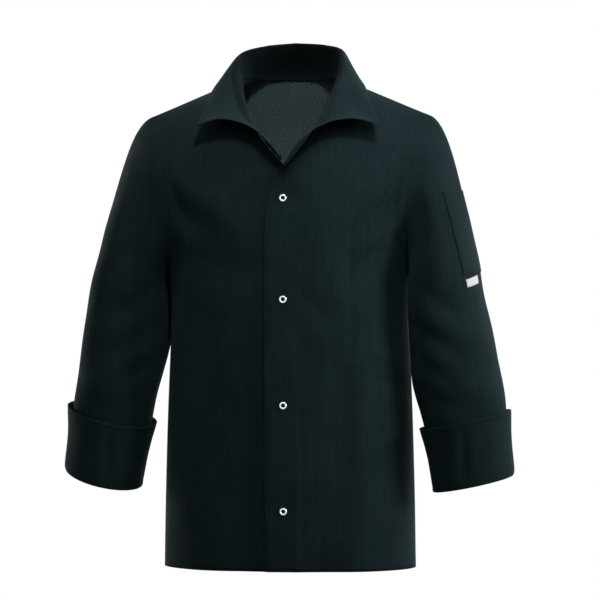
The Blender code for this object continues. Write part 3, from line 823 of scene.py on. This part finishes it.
class Surface:
    """A new material whose nodes are written as expressions."""

    def __init__(self, name, constants):
        self.material = bpy.data.materials.new(name)
        self.material.use_nodes = True
        self.tree = self.material.node_tree
        self.shader = self.tree.nodes["Principled BSDF"]
        for key, value in constants.items():
            self.shader.inputs[key].default_value = value

    def node(self, kind, settings, inputs, output=0):
        made = self.tree.nodes.new(kind)
        for key, value in settings.items():
            setattr(made, key, value)
        for key, value in inputs.items():
            if isinstance(value, Wire):
                self.tree.links.new(value.socket, made.inputs[key])
            else:
                made.inputs[key].default_value = value
        return Wire(self, made.outputs[output])

    def feed(self, socket, wire):
        self.tree.links.new(wire.socket, self.shader.inputs[socket])

    def axes(self, vector):
        parts = self.node("ShaderNodeSeparateXYZ", {}, {0: vector})
        outputs = parts.socket.node.outputs
        return [Wire(self, outputs[k]) for k in range(3)]

    def cloth_axes(self):
        return self.axes(self.node("ShaderNodeUVMap", {"uv_map": "cloth"}, {}))

    def place(self):
        return self.node("ShaderNodeTexCoord", {}, {}, "Object")

    def noise(self, vector, scale, detail=3.0, roughness=0.55):
        inputs = {"Vector": vector, "Scale": scale, "Detail": detail, "Roughness": roughness}
        return self.node("ShaderNodeTexNoise", {}, inputs)

    def between(self, value, low, high, start=0.0, end=1.0):
        inputs = {0: value, 1: low, 2: high, 3: start, 4: end}
        return self.node("ShaderNodeMapRange", {"clamp": True}, inputs)

    def mix(self, factor, first, second):
        settings = {"data_type": "RGBA", "blend_type": "MIX"}
        return self.node("ShaderNodeMix", settings, {0: factor, 6: first, 7: second}, 2)

    def bump(self, height, distance, strength=1.0):
        inputs = {"Height": height, "Distance": distance, "Strength": strength}
        self.feed("Normal", self.node("ShaderNodeBump", {}, inputs))


def twill(name, colour, settings):
    """Fine black twill: ridges, slubs, upright streaks, raised seams and a dull sheen."""
    constants = {
        "Sheen Weight": settings.sheen,
        "Sheen Roughness": 0.42,
        "Sheen Tint": (0.42, 0.8, 0.92, 1),
        "Specular IOR Level": 0.045,
        "Specular Tint": (0.55, 0.9, 1.0, 1),
    }
    made = Surface(name, constants)
    u, v, _ = made.cloth_axes()
    turn = 2 * math.pi / (settings.weave * MM)
    ridge = ((u + v) * turn).sine()
    cross = ((u - v) * (turn * 0.5)).sine()
    where = made.place()
    slub = made.between(made.noise(where, 330.0, 5.0, 0.75), 0.3, 0.7)
    cloud = made.between(made.noise(where, 16.0, 3.0), 0.3, 0.7)
    fibre = made.noise(where, 1500.0, 2.0)
    drawn = made.node("ShaderNodeVectorMath", {"operation": "MULTIPLY"}, {0: where, 1: (1, 1, 0.1)})
    streak = made.between(made.noise(drawn, 130.0, 3.0), 0.3, 0.7)
    stitch = made.node("ShaderNodeAttribute", {"attribute_name": "stitch"}, {}, "Fac")
    fold = made.between(stitch, 5.0, 7.4, 1.0, 0.0)
    # The colour is darkened along the topstitching line: painted shade in the stitch groove, which the
    # bump also sinks.
    groove = made.between((stitch - TOPSTITCH).absolute(), 0.0, 1.1, 1.0, 0.0)
    # The colour is paler within 1.6 mm of a stitched edge.
    paler_edge = made.between(stitch, 0.0, 1.6, 0.5, 0.0)
    shade = 0.42 * slub + 0.2 * streak + 0.26 * cloud + 0.06 * ridge + paler_edge * 0.25 - groove * 0.3 + 0.08
    dark = (colour[0] * 0.45, colour[1] * 0.45, colour[2] * 0.47, 1)
    pale = (colour[0] * 1.75, colour[1] * 1.75, colour[2] * 1.7, 1)
    # Painted shade: the 'shade' attribute darkens the colour under the collar wings and inside the
    # collar stand.
    deep = made.node("ShaderNodeAttribute", {"attribute_name": "shade"}, {}, "Fac")
    woven = made.mix(made.between(shade, 0.1, 0.9), dark, pale)
    made.feed("Base Color", made.mix(deep, (0.0, 0.0, 0.0, 1), woven))
    made.feed("Roughness", made.between(slub + cloud * 0.6, 0.4, 1.2, 0.64, 0.82))
    height = ridge * 0.24 + cross * 0.08 + slub * 0.9 + fibre * 0.35 + fold * 3.0 - groove * 2.0
    made.bump(height, 0.00014, 1.0)
    return made.material


def rib_knit(name, colour, settings, contrast):
    """Open knit with diagonal ribs and small eyes between them."""
    constants = {
        "Sheen Weight": 0.05,
        "Sheen Roughness": 0.5,
        "Sheen Tint": (0.7, 0.95, 1.0, 1),
        "Specular IOR Level": 0.1,
    }
    made = Surface(name, constants)
    where = made.place()
    x, _, z = made.axes(where)
    pitch = 2 * math.pi / (settings.rib * MM)
    slant = math.radians(28)
    uneven = made.noise(where, 160.0, 3.0)
    across = x * math.cos(slant) + z * math.sin(slant)
    along = z * math.cos(slant) - x * math.sin(slant)
    rib = ((across * pitch) + uneven * 2.2).sine()
    eye = ((along * (pitch * 1.05)) + ((across * pitch * 0.5).sine() * 1.4)).sine()
    fine = made.noise(where, 900.0, 3.0, 0.7)
    cloud = made.noise(where, 14.0, 2.0)
    shade = rib * 0.42 + eye * 0.16 + fine * 0.7 + cloud * 0.2
    low, high = 1 - contrast, 1 + contrast
    dark = tuple(c * low for c in colour) + (1,)
    pale = tuple(c * high for c in colour) + (1,)
    made.feed("Base Color", made.mix(made.between(shade, 0.05, 0.95), dark, pale))
    made.feed("Roughness", made.between(fine, 0.3, 0.7, 0.8, 0.92))
    made.bump(rib * 0.9 + eye * 0.45 + fine * 0.5, 0.0006, 1.0)
    return made.material


def tape_weave(name, colour):
    made = Surface(name, {"Sheen Weight": 0.1})
    u, v, _ = made.cloth_axes()
    turn = 2 * math.pi / 0.0005
    grain = (u * turn).sine() * (v * turn).sine()
    fibre = made.noise(made.place(), 1300.0)
    stitch = made.node("ShaderNodeAttribute", {"attribute_name": "stitch"}, {}, "Fac")
    hem = made.between((stitch - 1.2).absolute(), 0.0, 0.5, 1.0, 0.0)
    shade = grain * 0.12 + fibre * 0.5 + 0.4 - hem * 0.4
    dark = tuple(c * 0.72 for c in colour) + (1,)
    made.feed("Base Color", made.mix(made.between(shade, 0.1, 0.9), dark, (*colour, 1)))
    made.feed("Roughness", made.between(fibre, 0.3, 0.7, 0.52, 0.7))
    made.bump(grain * 0.5 + fibre * 0.5 - hem * 2.0, 0.0001, 0.8)
    return made.material


def worked_metal(name, colour, roughness, scratch):
    made = Surface(name, {"Metallic": 1.0})
    where = made.place()
    smear = made.noise(where, 260.0, 3.0)
    fine = made.noise(where, 2400.0, 2.0)
    dark = tuple(c * 0.8 for c in colour) + (1,)
    made.feed("Base Color", made.mix(made.between(smear, 0.3, 0.7), dark, (*colour, 1)))
    made.feed("Roughness", made.between(smear, 0.3, 0.7, roughness * 0.8, roughness * 1.4))
    made.bump(fine + smear, scratch, 0.5)
    return made.material


def plain_thread(name, colour):
    made = Surface(name, {"Specular IOR Level": 0.1})
    where = made.place()
    twist = made.noise(where, 2600.0, 2.0)
    pale = tuple(c * 1.7 for c in colour) + (1,)
    made.feed("Base Color", made.mix(made.between(twist, 0.3, 0.7), (*colour, 1), pale))
    made.feed("Roughness", made.between(twist, 0.3, 0.7, 0.5, 0.7))
    made.bump(twist, 0.0001, 0.7)
    return made.material


def shared(name, maker, *values):
    """The material of that name, made the first time that it is asked for."""
    return bpy.data.materials.get(name) or maker(name, *values)


# ---------------------------------------------------------------- settings


class JacketSettings(bpy.types.PropertyGroup):
    """The sizes and colours of the jacket that a user would change."""

    cloth_wall: FloatProperty(
        name="Cloth thickness",
        description="Thickness of one layer of cloth, in millimetres",
        default=1.3,
        min=0.6,
        max=1.5,
    )
    fold_strength: FloatProperty(
        name="Fold strength",
        description="How deep the soft folds are",
        default=1.35,
        subtype="FACTOR",
    )
    weave: FloatProperty(
        name="Twill pitch", description="Pitch of the twill ridges, in millimetres", default=0.9
    )
    rib: FloatProperty(
        name="Rib pitch", description="Pitch of the knit's ribs, in millimetres", default=3.1
    )
    sheen: FloatProperty(
        name="Sheen", description="Dull shine of the twill", default=0.035, subtype="FACTOR"
    )
    stitch_pitch: FloatProperty(
        name="Stitch pitch", description="Length of one stitch, in millimetres", default=3.0
    )
    cloth_colour: FloatVectorProperty(
        name="Cloth colour",
        description="Colour of the twill",
        subtype="COLOR",
        default=(0.0088, 0.0168, 0.0190),
    )
    knit_colour: FloatVectorProperty(
        name="Knit colour",
        description="Colour of the knit inside the back",
        subtype="COLOR",
        default=(0.074, 0.112, 0.116),
    )
    metal_colour: FloatVectorProperty(
        name="Ring colour",
        description="Colour of the snap rings",
        subtype="COLOR",
        default=(0.82, 0.83, 0.84),
    )
    key_power: FloatProperty(
        name="Key light", description="Power of the main light, in watts", default=60.0
    )


def wanted(context):
    return context.scene.jacket


def black_twill(context):
    settings = wanted(context)
    return shared("black_twill", twill, tuple(settings.cloth_colour), settings)


def black_thread(context):
    return shared("black_thread", plain_thread, THREAD_COLOUR)


def under_wings(grid):
    """1 in the open and less under a wing, where the colour is darkened for the wing's shade."""
    shade = np.ones(grid.shape[:2])
    x, z = grid[..., 0], grid[..., 2]
    for side, sign in (("left", 1), ("right", -1)):
        line = np.array([row[1:] for row in WING_FRONT[side]], float)
        order = np.argsort(line[:, 0])
        edge = np.interp(x, line[order, 0], line[order, 2])
        below = np.clip(edge - z, 0, None)
        reach = WING_SHADE_REACH * (0.6 + 0.4 * ease((150 - np.abs(x)) / 60))
        sides = np.array([row[1:] for row in WING_SIDE[side]][:WING_SIDE_ROWS], float)
        reach_x = np.interp(z, sides[:, 2], sides[:, 0] * sign) + WING_SHADE_PAST
        inside = ease((sign * x + 12) / 12) * ease((reach_x - sign * x) / WING_SHADE_FADE)
        shade = np.minimum(shade, 1 - WING_SHADE * np.exp(-((below / reach) ** 2)) * inside)
    return shade


def closing_lift(grid):
    """The upper front's edge stands off a little, and the lower one's edge shows through."""
    across = arc(grid, 1)
    lift = smooth(EDGE_LIFT, grid[..., 2])[..., 0] * np.exp(-((across / LIFT_WIDTH) ** 2))
    x, z = grid[..., 0], grid[..., 2]
    step = STEP_HEIGHT * (1 - ease((x - STEP_PLACE) / STEP_WIDTH)) * ease((x - STEP_END) / 8)
    return lift + step * ease((STEP_START - z) / 60)


def front_patch(left, strength):
    levels = np.linspace(0, SHOULDER_LEVEL, FRONT_LEVELS)
    t = np.concatenate([np.linspace(0, 0.3, 44), np.linspace(0.3, 1, 66)[1:]])
    grid = np.array([front_rows(level, t, left) for level in levels])
    grid = drawn_back(eased_rows(grid, t))
    flip = not left
    near = ease((np.abs(grid[..., 0]) - 4) / 60) * 0.7 + 0.3
    extra = body_waves(grid) * FRONT_WAVE_SHARE * strength * near
    if left:
        extra = extra + closing_lift(grid)
    normals = grid_normals(grid, flip)
    push = (fold_depth(grid, normals, FOLDS, strength) + extra) * snap_clear(grid)
    push = push * seam_clear(grid)
    grid = grid + normals * push[..., None]
    edges = ["first_column", "last_row"] if left else ["last_row"]
    stitch = edge_distance(grid, edges)
    stitch = np.minimum(stitch, np.abs(arc(grid, 0) - HEM_STITCH) + TOPSTITCH)
    return grid, stitch, False, flip, under_wings(grid)


class JACKET_OT_fronts(bpy.types.Operator):
    """Builds the two fronts, the upper one over the lower one, with their topstitching"""

    bl_idname = "jacket.fronts"
    bl_label = "Fronts"

    def execute(self, context):
        settings = wanted(context)
        for side in ("left", "right"):
            name, node, left = f"{side}_front", f"front_{side}", side == "left"
            patch = front_patch(left, settings.fold_strength)
            piece = cloth_piece(
                name, [patch], [black_twill(context)], settings.cloth_wall, node
            )
            grid, flip = patch[0], patch[3]
            normals = grid_normals(grid, flip)
            lines = [stitch_row(grid, normals, TOPSTITCH, "last_row")]
            lines.append(stitch_row(grid, normals, HEM_STITCH, "first_row"))
            if left:
                lines.append(stitch_row(grid, normals, TOPSTITCH, "first_column"))
            sewn = thread(f"{name}_stitching", lines, black_thread(context), settings.stitch_pitch)
            declare([patch])
        return {"FINISHED"}


def back_patch(side, strength):
    levels = np.linspace(0, SHOULDER_LEVEL, BACK_LEVELS)
    levels[np.argmin(np.abs(levels - NAPE_LEVEL))] = NAPE_LEVEL
    t = np.linspace(0, 1, BACK_COLUMNS)
    grid = np.array([back_rows(level, t) for level in levels])
    grid = drawn_back(eased_rows(grid, t))
    grid[levels <= NAPE_LEVEL, 0, 0] = 0
    flip = side > 0
    if side < 0:
        grid = mirrored(grid)
    normals = grid_normals(grid, flip)
    normals[levels <= NAPE_LEVEL, 0, 0] = 0
    normals = unit(normals)
    calm = ease((50 - grid[..., 2]) / 90)
    push = (fold_depth(grid, normals, FOLDS, strength) + body_waves(grid) * strength) * calm
    push = push * seam_clear(grid)
    grid = grid + normals * push[..., None]
    stitch = edge_distance(grid, ["last_row"])
    stitch = np.minimum(stitch, np.abs(arc(grid, 0) - HEM_STITCH) + TOPSTITCH)
    return grid, stitch, False, flip


class JACKET_OT_back(bpy.types.Operator):
    """Builds the knitted back: black outside, dark grey inside"""

    bl_idname = "jacket.back"
    bl_label = "Back"

    def execute(self, context):
        settings = wanted(context)
        outside = shared("ribbed_mesh_black", rib_knit, BLACK_KNIT, settings, 0.45)
        inside = shared("ribbed_mesh_grey", rib_knit, tuple(settings.knit_colour), settings, 0.55)
        patches = [back_patch(1, settings.fold_strength), back_patch(-1, settings.fold_strength)]
        piece = cloth_piece(
            "back_panel", patches, [outside, inside], settings.cloth_wall, "back"
        )
        lines = []
        for grid, _, _, flip in patches:
            normals = grid_normals(grid, flip)
            lines.append(stitch_row(grid, normals, HEM_STITCH, "first_row"))
        sewn = thread("back_stitching", lines, black_thread(context), settings.stitch_pitch)
        declare(patches)
        return {"FINISHED"}


def sleeve_patch(side, strength):
    arm = ARM_LEFT if side == "left" else ARM_RIGHT
    grid, turns = sleeve_surface(arm, HEAD_FULLNESS[side])
    flip = side == "left"
    waves = arm_waves(grid, turns, ARM_WAVE_START[side]) * strength
    calm = ease((np.arange(len(grid)) - 2) / 14)[:, None]
    inner = 1 - 0.7 * ease((190 - grid[..., 0]) / 20)
    if side == "right":
        grid = mirrored(grid)
    else:
        near = np.exp(-(((grid[..., 2] - CLOSER_HEIGHT) / CLOSER_SPREAD) ** 2))
        near = near * ease((CLOSER_EDGE - grid[..., 0]) / CLOSER_FADE)
        grid = grid - near[..., None] * np.array([SLEEVE_CLOSER, 0.0, 0.0])
    normals = grid_normals(grid, flip, closed=True)
    ends = ease((grid[..., 2] + 586) / 70)
    body = fold_depth(mirrored(grid) if side == "right" else grid, normals, ARM_FOLDS, strength)
    push = (body + waves) * calm * inner * (0.35 + 0.65 * ends)
    grid = grid + normals * push[..., None]
    stitch = np.full(grid.shape[:2], UNSTITCHED)
    return grid, stitch, True, flip


class JACKET_OT_sleeves(bpy.types.Operator):
    """Builds the two sleeves, filled out and softly creased at the elbows"""

    bl_idname = "jacket.sleeves"
    bl_label = "Sleeves"

    def execute(self, context):
        settings = wanted(context)
        for side in ("left", "right"):
            patch = sleeve_patch(side, settings.fold_strength)
            piece = cloth_piece(
                f"{side}_sleeve", [patch], [black_twill(context)], settings.cloth_wall,
                f"sleeve_{side}",
            )  # fmt: skip
            declare([patch])
        return {"FINISHED"}


def cuff_patch(side, strength):
    arm = ARM_LEFT if side == "left" else ARM_RIGHT
    turns = np.linspace(math.pi, -math.pi, CUFF_COLUMNS + 1)[:-1]
    places = np.linspace(0, CUFF_PROFILE[-1][0], CUFF_ROWS)
    profile = smooth(CUFF_PROFILE, places)
    bottom = arm[-1][0]
    grid = np.array([arm_points(arm, bottom - up, turns, out) for out, up in profile])
    table = np.array([arm_points(arm, bottom, turns, out) for out, _ in profile])
    table[..., 2] += profile[:, 1][:, None]
    grid = np.where((profile[:, 1] < 0)[:, None, None], table, grid)
    flip = side == "right"
    if side == "right":
        grid = mirrored(grid)
    normals = grid_normals(grid, flip, closed=True)
    shown = ease((places - 3) / 1.2)[:, None]
    folds = mirrored(grid) if side == "right" else grid
    push = fold_depth(folds, normals, CUFF_FOLDS, strength) * shown
    push = push + shown * 0.8 * np.sin(turns * 3 + 0.6 + places[:, None] * 0.3)
    flare = shown * 1.1 * ease((places - 5) / 2)[:, None] * (1 + np.sin(turns * 2 + 1.0))
    grid = grid + normals * (push + flare)[..., None]
    stitch = edge_distance(grid, ["last_row"])
    return grid, stitch, True, flip


class JACKET_OT_cuffs(bpy.types.Operator):
    """Builds the turned-back cuffs with a stitched upper edge"""

    bl_idname = "jacket.cuffs"
    bl_label = "Cuffs"

    def execute(self, context):
        settings = wanted(context)
        for side in ("left", "right"):
            patch = cuff_patch(side, settings.fold_strength)
            piece = cloth_piece(
                f"{side}_cuff", [patch], [black_twill(context)], settings.cloth_wall,
                f"cuff_{side}",
            )  # fmt: skip
            grid, flip = patch[0], patch[3]
            normals = grid_normals(grid, flip, closed=True)
            line = stitch_row(grid, normals, TOPSTITCH, "last_row")
            ring = [np.concatenate([part, part[:1]]) for part in line]
            black = black_thread(context)
            sewn = thread(f"{side}_cuff_stitching", [ring], black, settings.stitch_pitch)
            declare([patch])
        return {"FINISHED"}


class JACKET_OT_collar(bpy.types.Operator):
    """Builds the collar in one piece: the stand, the fold, the leaf and its wings"""

    bl_idname = "jacket.collar"
    bl_label = "Collar"

    def execute(self, context):
        settings = wanted(context)
        grid = collar_surface()
        normals = grid_normals(grid)
        rows = np.arange(grid.shape[1])
        leaf = ease((rows - 22) / 8)[None]
        x, y, z = grid[..., 0], grid[..., 1], grid[..., 2]
        soft = 0.9 * np.sin(x / 21.0 + z / 33.0) + 0.5 * np.sin(y / 13.0 - x / 37.0)
        grid = grid - normals * (leaf * soft * ease((98 - y) / 40))[..., None]
        stitch = edge_distance(grid, ["last_column"])
        # The inner side of the stand is darkened, for the deep shade that it lies in.
        stand = 1 - ease((rows - 14) / 6)[None]
        columns = np.abs(np.arange(len(grid)) - 101) / 101
        deep = 1 - stand * 0.82 * (1 - ease((columns - 0.25) / 0.6))[:, None]
        patch = (grid, stitch, False, False, deep)
        piece = cloth_piece(
            "collar_leaf", [patch], [black_twill(context)], settings.cloth_wall, "collar"
        )
        normals = -grid_normals(grid)
        inside = grid + normals * (settings.cloth_wall + 0.05)
        line = stitch_row(inside, normals, TOPSTITCH, "last_column")
        wide = arc(grid, 1)[:, -1] - arc(grid, 1)[:, 18] > 14
        parts = [part[wide] for part in line]
        sewn = thread("collar_stitching", [parts], black_thread(context), settings.stitch_pitch)
        declare([patch])
        return {"FINISHED"}


def on_sleeve(grid, turns, turn, z, out):
    """A point lifted off the left sleeve, at a turn in degrees and a height."""

    def down(angle):
        order = np.argsort(turns)
        low = int(np.searchsorted(turns[order], math.radians(angle)))
        a, b = order[max(low - 1, 0)], order[min(low, len(order) - 1)]
        share = (math.radians(angle) - turns[a]) / (turns[b] - turns[a])
        line = grid[:, a] * (1 - share) + grid[:, b] * share
        fallen = -line[:, 2]
        below = int(np.clip(np.searchsorted(fallen, -z), 1, len(line) - 1))
        point = np.array([np.interp(-z, fallen, line[:, k]) for k in range(3)])
        return point, unit(line[below] - line[below - 1])

    point, heading = down(turn)
    beside, _ = down(turn + 2)
    return point + unit(np.cross(beside - point, heading)) * out


def patch_on_sleeve(sleeve, turns, turn_span, span, shape, out, climb=0.0):
    columns = np.linspace(*turn_span, shape[1])
    heights = np.linspace(*span, shape[0])
    rise = [PATCH_RISE * (1 - math.sin(math.radians(turn))) for turn in columns]
    rise = np.array(rise) + climb * np.linspace(0, 1, len(columns))
    grid = np.array(
        [
            [on_sleeve(sleeve, turns, turn, z + up, out) for turn, up in zip(columns, rise)]
            for z in heights
        ]
    )
    return grid


class JACKET_OT_pocket(bpy.types.Operator):
    """Builds the narrow sleeve pocket, sewn on three sides, and the bare tape below it"""

    bl_idname = "jacket.pocket"
    bl_label = "Sleeve pocket and tape"

    def execute(self, context):
        settings = wanted(context)
        sleeve = sleeve_patch("left", settings.fold_strength)[0]
        turns = armhole()[2]
        lift = POCKET_WALL + POCKET_CLEAR
        grid = patch_on_sleeve(sleeve, turns, POCKET_TURN, POCKET_SPAN, POCKET_GRID, lift)
        edges = ["first_column", "last_column", "last_row", "first_row"]
        patch = (grid, edge_distance(grid, edges) + TOPSTITCH - POCKET_STITCH, False, True)
        piece = cloth_piece(
            "sleeve_pocket", [patch], [black_twill(context)], POCKET_WALL, "pen_pocket",
        )  # fmt: skip
        normals = grid_normals(grid, True)
        lines = [stitch_row(grid, normals, POCKET_STITCH, edge) for edge in edges]
        sewn = thread("pocket_stitching", lines, black_thread(context), settings.stitch_pitch)
        declare([patch])
        grid = patch_on_sleeve(
            sleeve, turns, LABEL_TURN, LABEL_SPAN, LABEL_GRID, LABEL_LIFT, LABEL_CLIMB
        )
        patch = (grid, edge_distance(grid, edges), False, True)
        white = shared("tape_cloth", tape_weave, TAPE_WHITE)
        tape = cloth_piece("bare_tape", [patch], [white], LABEL_WALL, "label")
        declare([patch])
        return {"FINISHED"}


class JACKET_OT_snaps(bpy.types.Operator):
    """Turns the four open snap rings, and finishes the sockets and posts behind them"""

    bl_idname = "jacket.snaps"
    bl_label = "Press snaps"

    # Section of a ring: distance from its axis and height above the cloth, as it is turned.
    SECTION = (
        (2.75, 0.10), (2.75, 1.30), (2.95, 1.75), (3.35, 2.05), (3.9, 2.16), (4.5, 2.10),
        (5.05, 1.85), (5.45, 1.40), (5.66, 0.85), (5.70, 0.35), (5.60, 0.10),
    )  # fmt: skip

    def execute(self, context):
        settings = wanted(context)
        silver = shared("polished_metal", worked_metal, tuple(settings.metal_colour), 0.2, 0.00001)
        dark = shared("darkened_metal", worked_metal, DARK_METAL, 0.42, 0.00003)
        for number in range(1, len(SNAP_HEIGHTS) + 1):
            low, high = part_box(f"snap_{number}_ring")
            middle = (low + high) / 2
            shape = bmesh.new()
            shape.verts.layers.float.new("stitch")
            points = [shape.verts.new((r * MM, 0, h * MM)) for r, h in self.SECTION]
            edges = [shape.edges.new(pair) for pair in zip(points, points[1:] + points[:1])]
            bmesh.ops.spin(
                shape, geom=points + edges, cent=(0, 0, 0), axis=(0, 0, 1), angle=2 * math.pi,
                steps=64, use_merge=True, use_duplicate=False,
            )  # fmt: skip
            bmesh.ops.remove_doubles(shape, verts=shape.verts, dist=1e-6)
            bmesh.ops.recalc_face_normals(shape, faces=shape.faces)
            back, front = high.y, low.y
            depth = back - front
            for vert in shape.verts:
                x, y, z = vert.co
                vert.co = (middle.x + x, back - depth * z / (2.2 * MM), middle.z + y)
            bmesh.ops.recalc_face_normals(shape, faces=shape.faces)
            ring = to_piece(f"ring_{number}", shape, [silver])
            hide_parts(f"snap_{number}_ring")
            for part in ("socket", "post"):
                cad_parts[f"snap_{number}_{part}"].material_slots[0].material = dark
        return {"FINISHED"}


# ---------------------------------------------------------------- stage


def stage_material(name, colour, strength):
    constants = {
        "Base Color": (0, 0, 0, 1),
        "Roughness": 1.0,
        "Specular IOR Level": 0.0,
        "Emission Color": (*colour, 1),
        "Emission Strength": strength,
    }
    return Surface(name, constants).material


class JACKET_OT_stage(bpy.types.Operator):
    """Sets up the pale floor and backdrop, the soft studio lights and the camera"""

    bl_idname = "jacket.stage"
    bl_label = "Stage"

    # name, kind, place in metres, aim, size, share of the key light's power, colour
    LIGHTS = (
        ("chest", "SPOT", (0.36, -1.25, 1.50), (0.03, -0.05, -0.11), 0.16, 2.0, (1.0, 0.99, 0.98)),
        ("side", "AREA", (2.7, -0.75, 0.25), (0.1, 0.0, -0.40), 0.8, 0.80, (1.0, 1.0, 1.0)),
        ("fill", "AREA", (-2.0, -2.8, 0.9), (0.0, 0.0, -0.3), 1.4, 0.035, (0.95, 0.98, 1.0)),
        ("top", "AREA", (0.1, 0.25, 2.2), (0.0, 0.0, 0.0), 0.7, 0.10, (1.0, 1.0, 1.0)),
        ("neck", "SPOT", (0.15, -1.9, 0.95), (0.0, 0.07, -0.06), 0.10, 0.45, (1.0, 1.0, 1.0)),
        ("rim_left", "AREA", (-2.4, 1.6, 0.2), (0.0, 0.0, -0.3), 1.2, 0.30, (0.97, 1.0, 1.0)),
        ("rim_right", "AREA", (2.4, 1.7, 0.2), (0.0, 0.0, -0.3), 1.2, 0.30, (0.97, 1.0, 1.0)),
    )
    CONES = {"chest": 27, "neck": 6.5}  # degrees
    TARGET = Vector((0.0, 0.0, -0.316))
    AZIMUTH, DISTANCE, LENS, SHIFT = 6.5, 4.2, 168.0, 0.01667

    def execute(self, context):
        scene = context.scene
        settings = wanted(context)
        for name, kind, place, aim, size, share, colour in self.LIGHTS:
            lamp = bpy.data.lights.new(name, kind)
            if kind == "AREA":
                lamp.shape, lamp.size = "DISK", size
            else:
                lamp.shadow_soft_size = size
                lamp.spot_size, lamp.spot_blend = math.radians(self.CONES[name]), 1.0
            lamp.energy = settings.key_power * share
            lamp.color = colour
            holder = bpy.data.objects.new(name, lamp)
            holder.location = place
            way = Vector(aim) - holder.location
            holder.rotation_euler = way.to_track_quat("-Z", "Y").to_euler()
            scene.collection.objects.link(holder)
        camera = bpy.data.cameras.new("camera")
        camera.sensor_width, camera.lens, camera.shift_x = 36.0, self.LENS, self.SHIFT
        holder = bpy.data.objects.new("camera", camera)
        turn = math.radians(self.AZIMUTH)
        holder.location = self.TARGET + Vector((math.sin(turn), -math.cos(turn), 0)) * self.DISTANCE
        holder.rotation_euler = (self.TARGET - holder.location).to_track_quat("-Z", "Y").to_euler()
        scene.collection.objects.link(holder)
        scene.camera = holder
        self.backdrop(scene)
        world = bpy.data.worlds.new("studio")
        world.use_nodes = True
        world.node_tree.nodes["Background"].inputs["Color"].default_value = (0.93, 0.98, 1.0, 1)
        world.node_tree.nodes["Background"].inputs["Strength"].default_value = 0.03
        scene.world = world
        scene.view_settings.view_transform = "Standard"
        return {"FINISHED"}

    def backdrop(self, scene):
        shape = bmesh.new()
        bmesh.ops.create_uvsphere(shape, u_segments=64, v_segments=32, radius=9.0)
        bmesh.ops.reverse_faces(shape, faces=shape.faces)
        dome = self.staged(scene, "backdrop", shape, stage_material("backdrop_white", (1, 1, 1), 1.0))
        shape = bmesh.new()
        bmesh.ops.create_circle(shape, cap_ends=True, segments=96, radius=2.4)
        bmesh.ops.translate(shape, verts=shape.verts, vec=(0, 0, -1.15))
        floor = self.staged(scene, "floor", shape, stage_material("floor_white", (1, 1, 1), 0.93))
        for thing in (dome, floor):
            thing.visible_diffuse = False
            thing.visible_shadow = False

    def staged(self, scene, name, shape, surface):
        mesh = bpy.data.meshes.new(name)
        shape.to_mesh(mesh)
        shape.free()
        mesh.materials.append(surface)
        thing = bpy.data.objects.new(name, mesh)
        scene.collection.objects.link(thing)
        return thing


class JACKET_PT_panel(bpy.types.Panel):
    """Lists the jacket's settings and building steps"""

    bl_idname = "JACKET_PT_panel"
    bl_label = "Chef jacket"
    bl_space_type = "VIEW_3D"
    bl_region_type = "UI"
    bl_category = "Jacket"

    def draw(self, context):
        for name in JacketSettings.__annotations__:
            self.layout.prop(wanted(context), name)
        for step in STEPS:
            self.layout.operator(step.bl_idname)


STEPS = (
    JACKET_OT_back,
    JACKET_OT_fronts,
    JACKET_OT_sleeves,
    JACKET_OT_cuffs,
    JACKET_OT_collar,
    JACKET_OT_pocket,
    JACKET_OT_snaps,
    JACKET_OT_stage,
)
CLASSES = (JacketSettings, *STEPS, JACKET_PT_panel)


def register():
    for one in CLASSES:
        bpy.utils.register_class(one)
    bpy.types.Scene.jacket = PointerProperty(type=JacketSettings)


def unregister():
    del bpy.types.Scene.jacket
    for one in reversed(CLASSES):
        bpy.utils.unregister_class(one)


def main():
    register()
    for name in ("back", "fronts", "sleeves", "cuffs", "collar", "pocket", "snaps", "stage"):
        getattr(bpy.ops.jacket, name)()


if __name__ == "__main__":
    main()
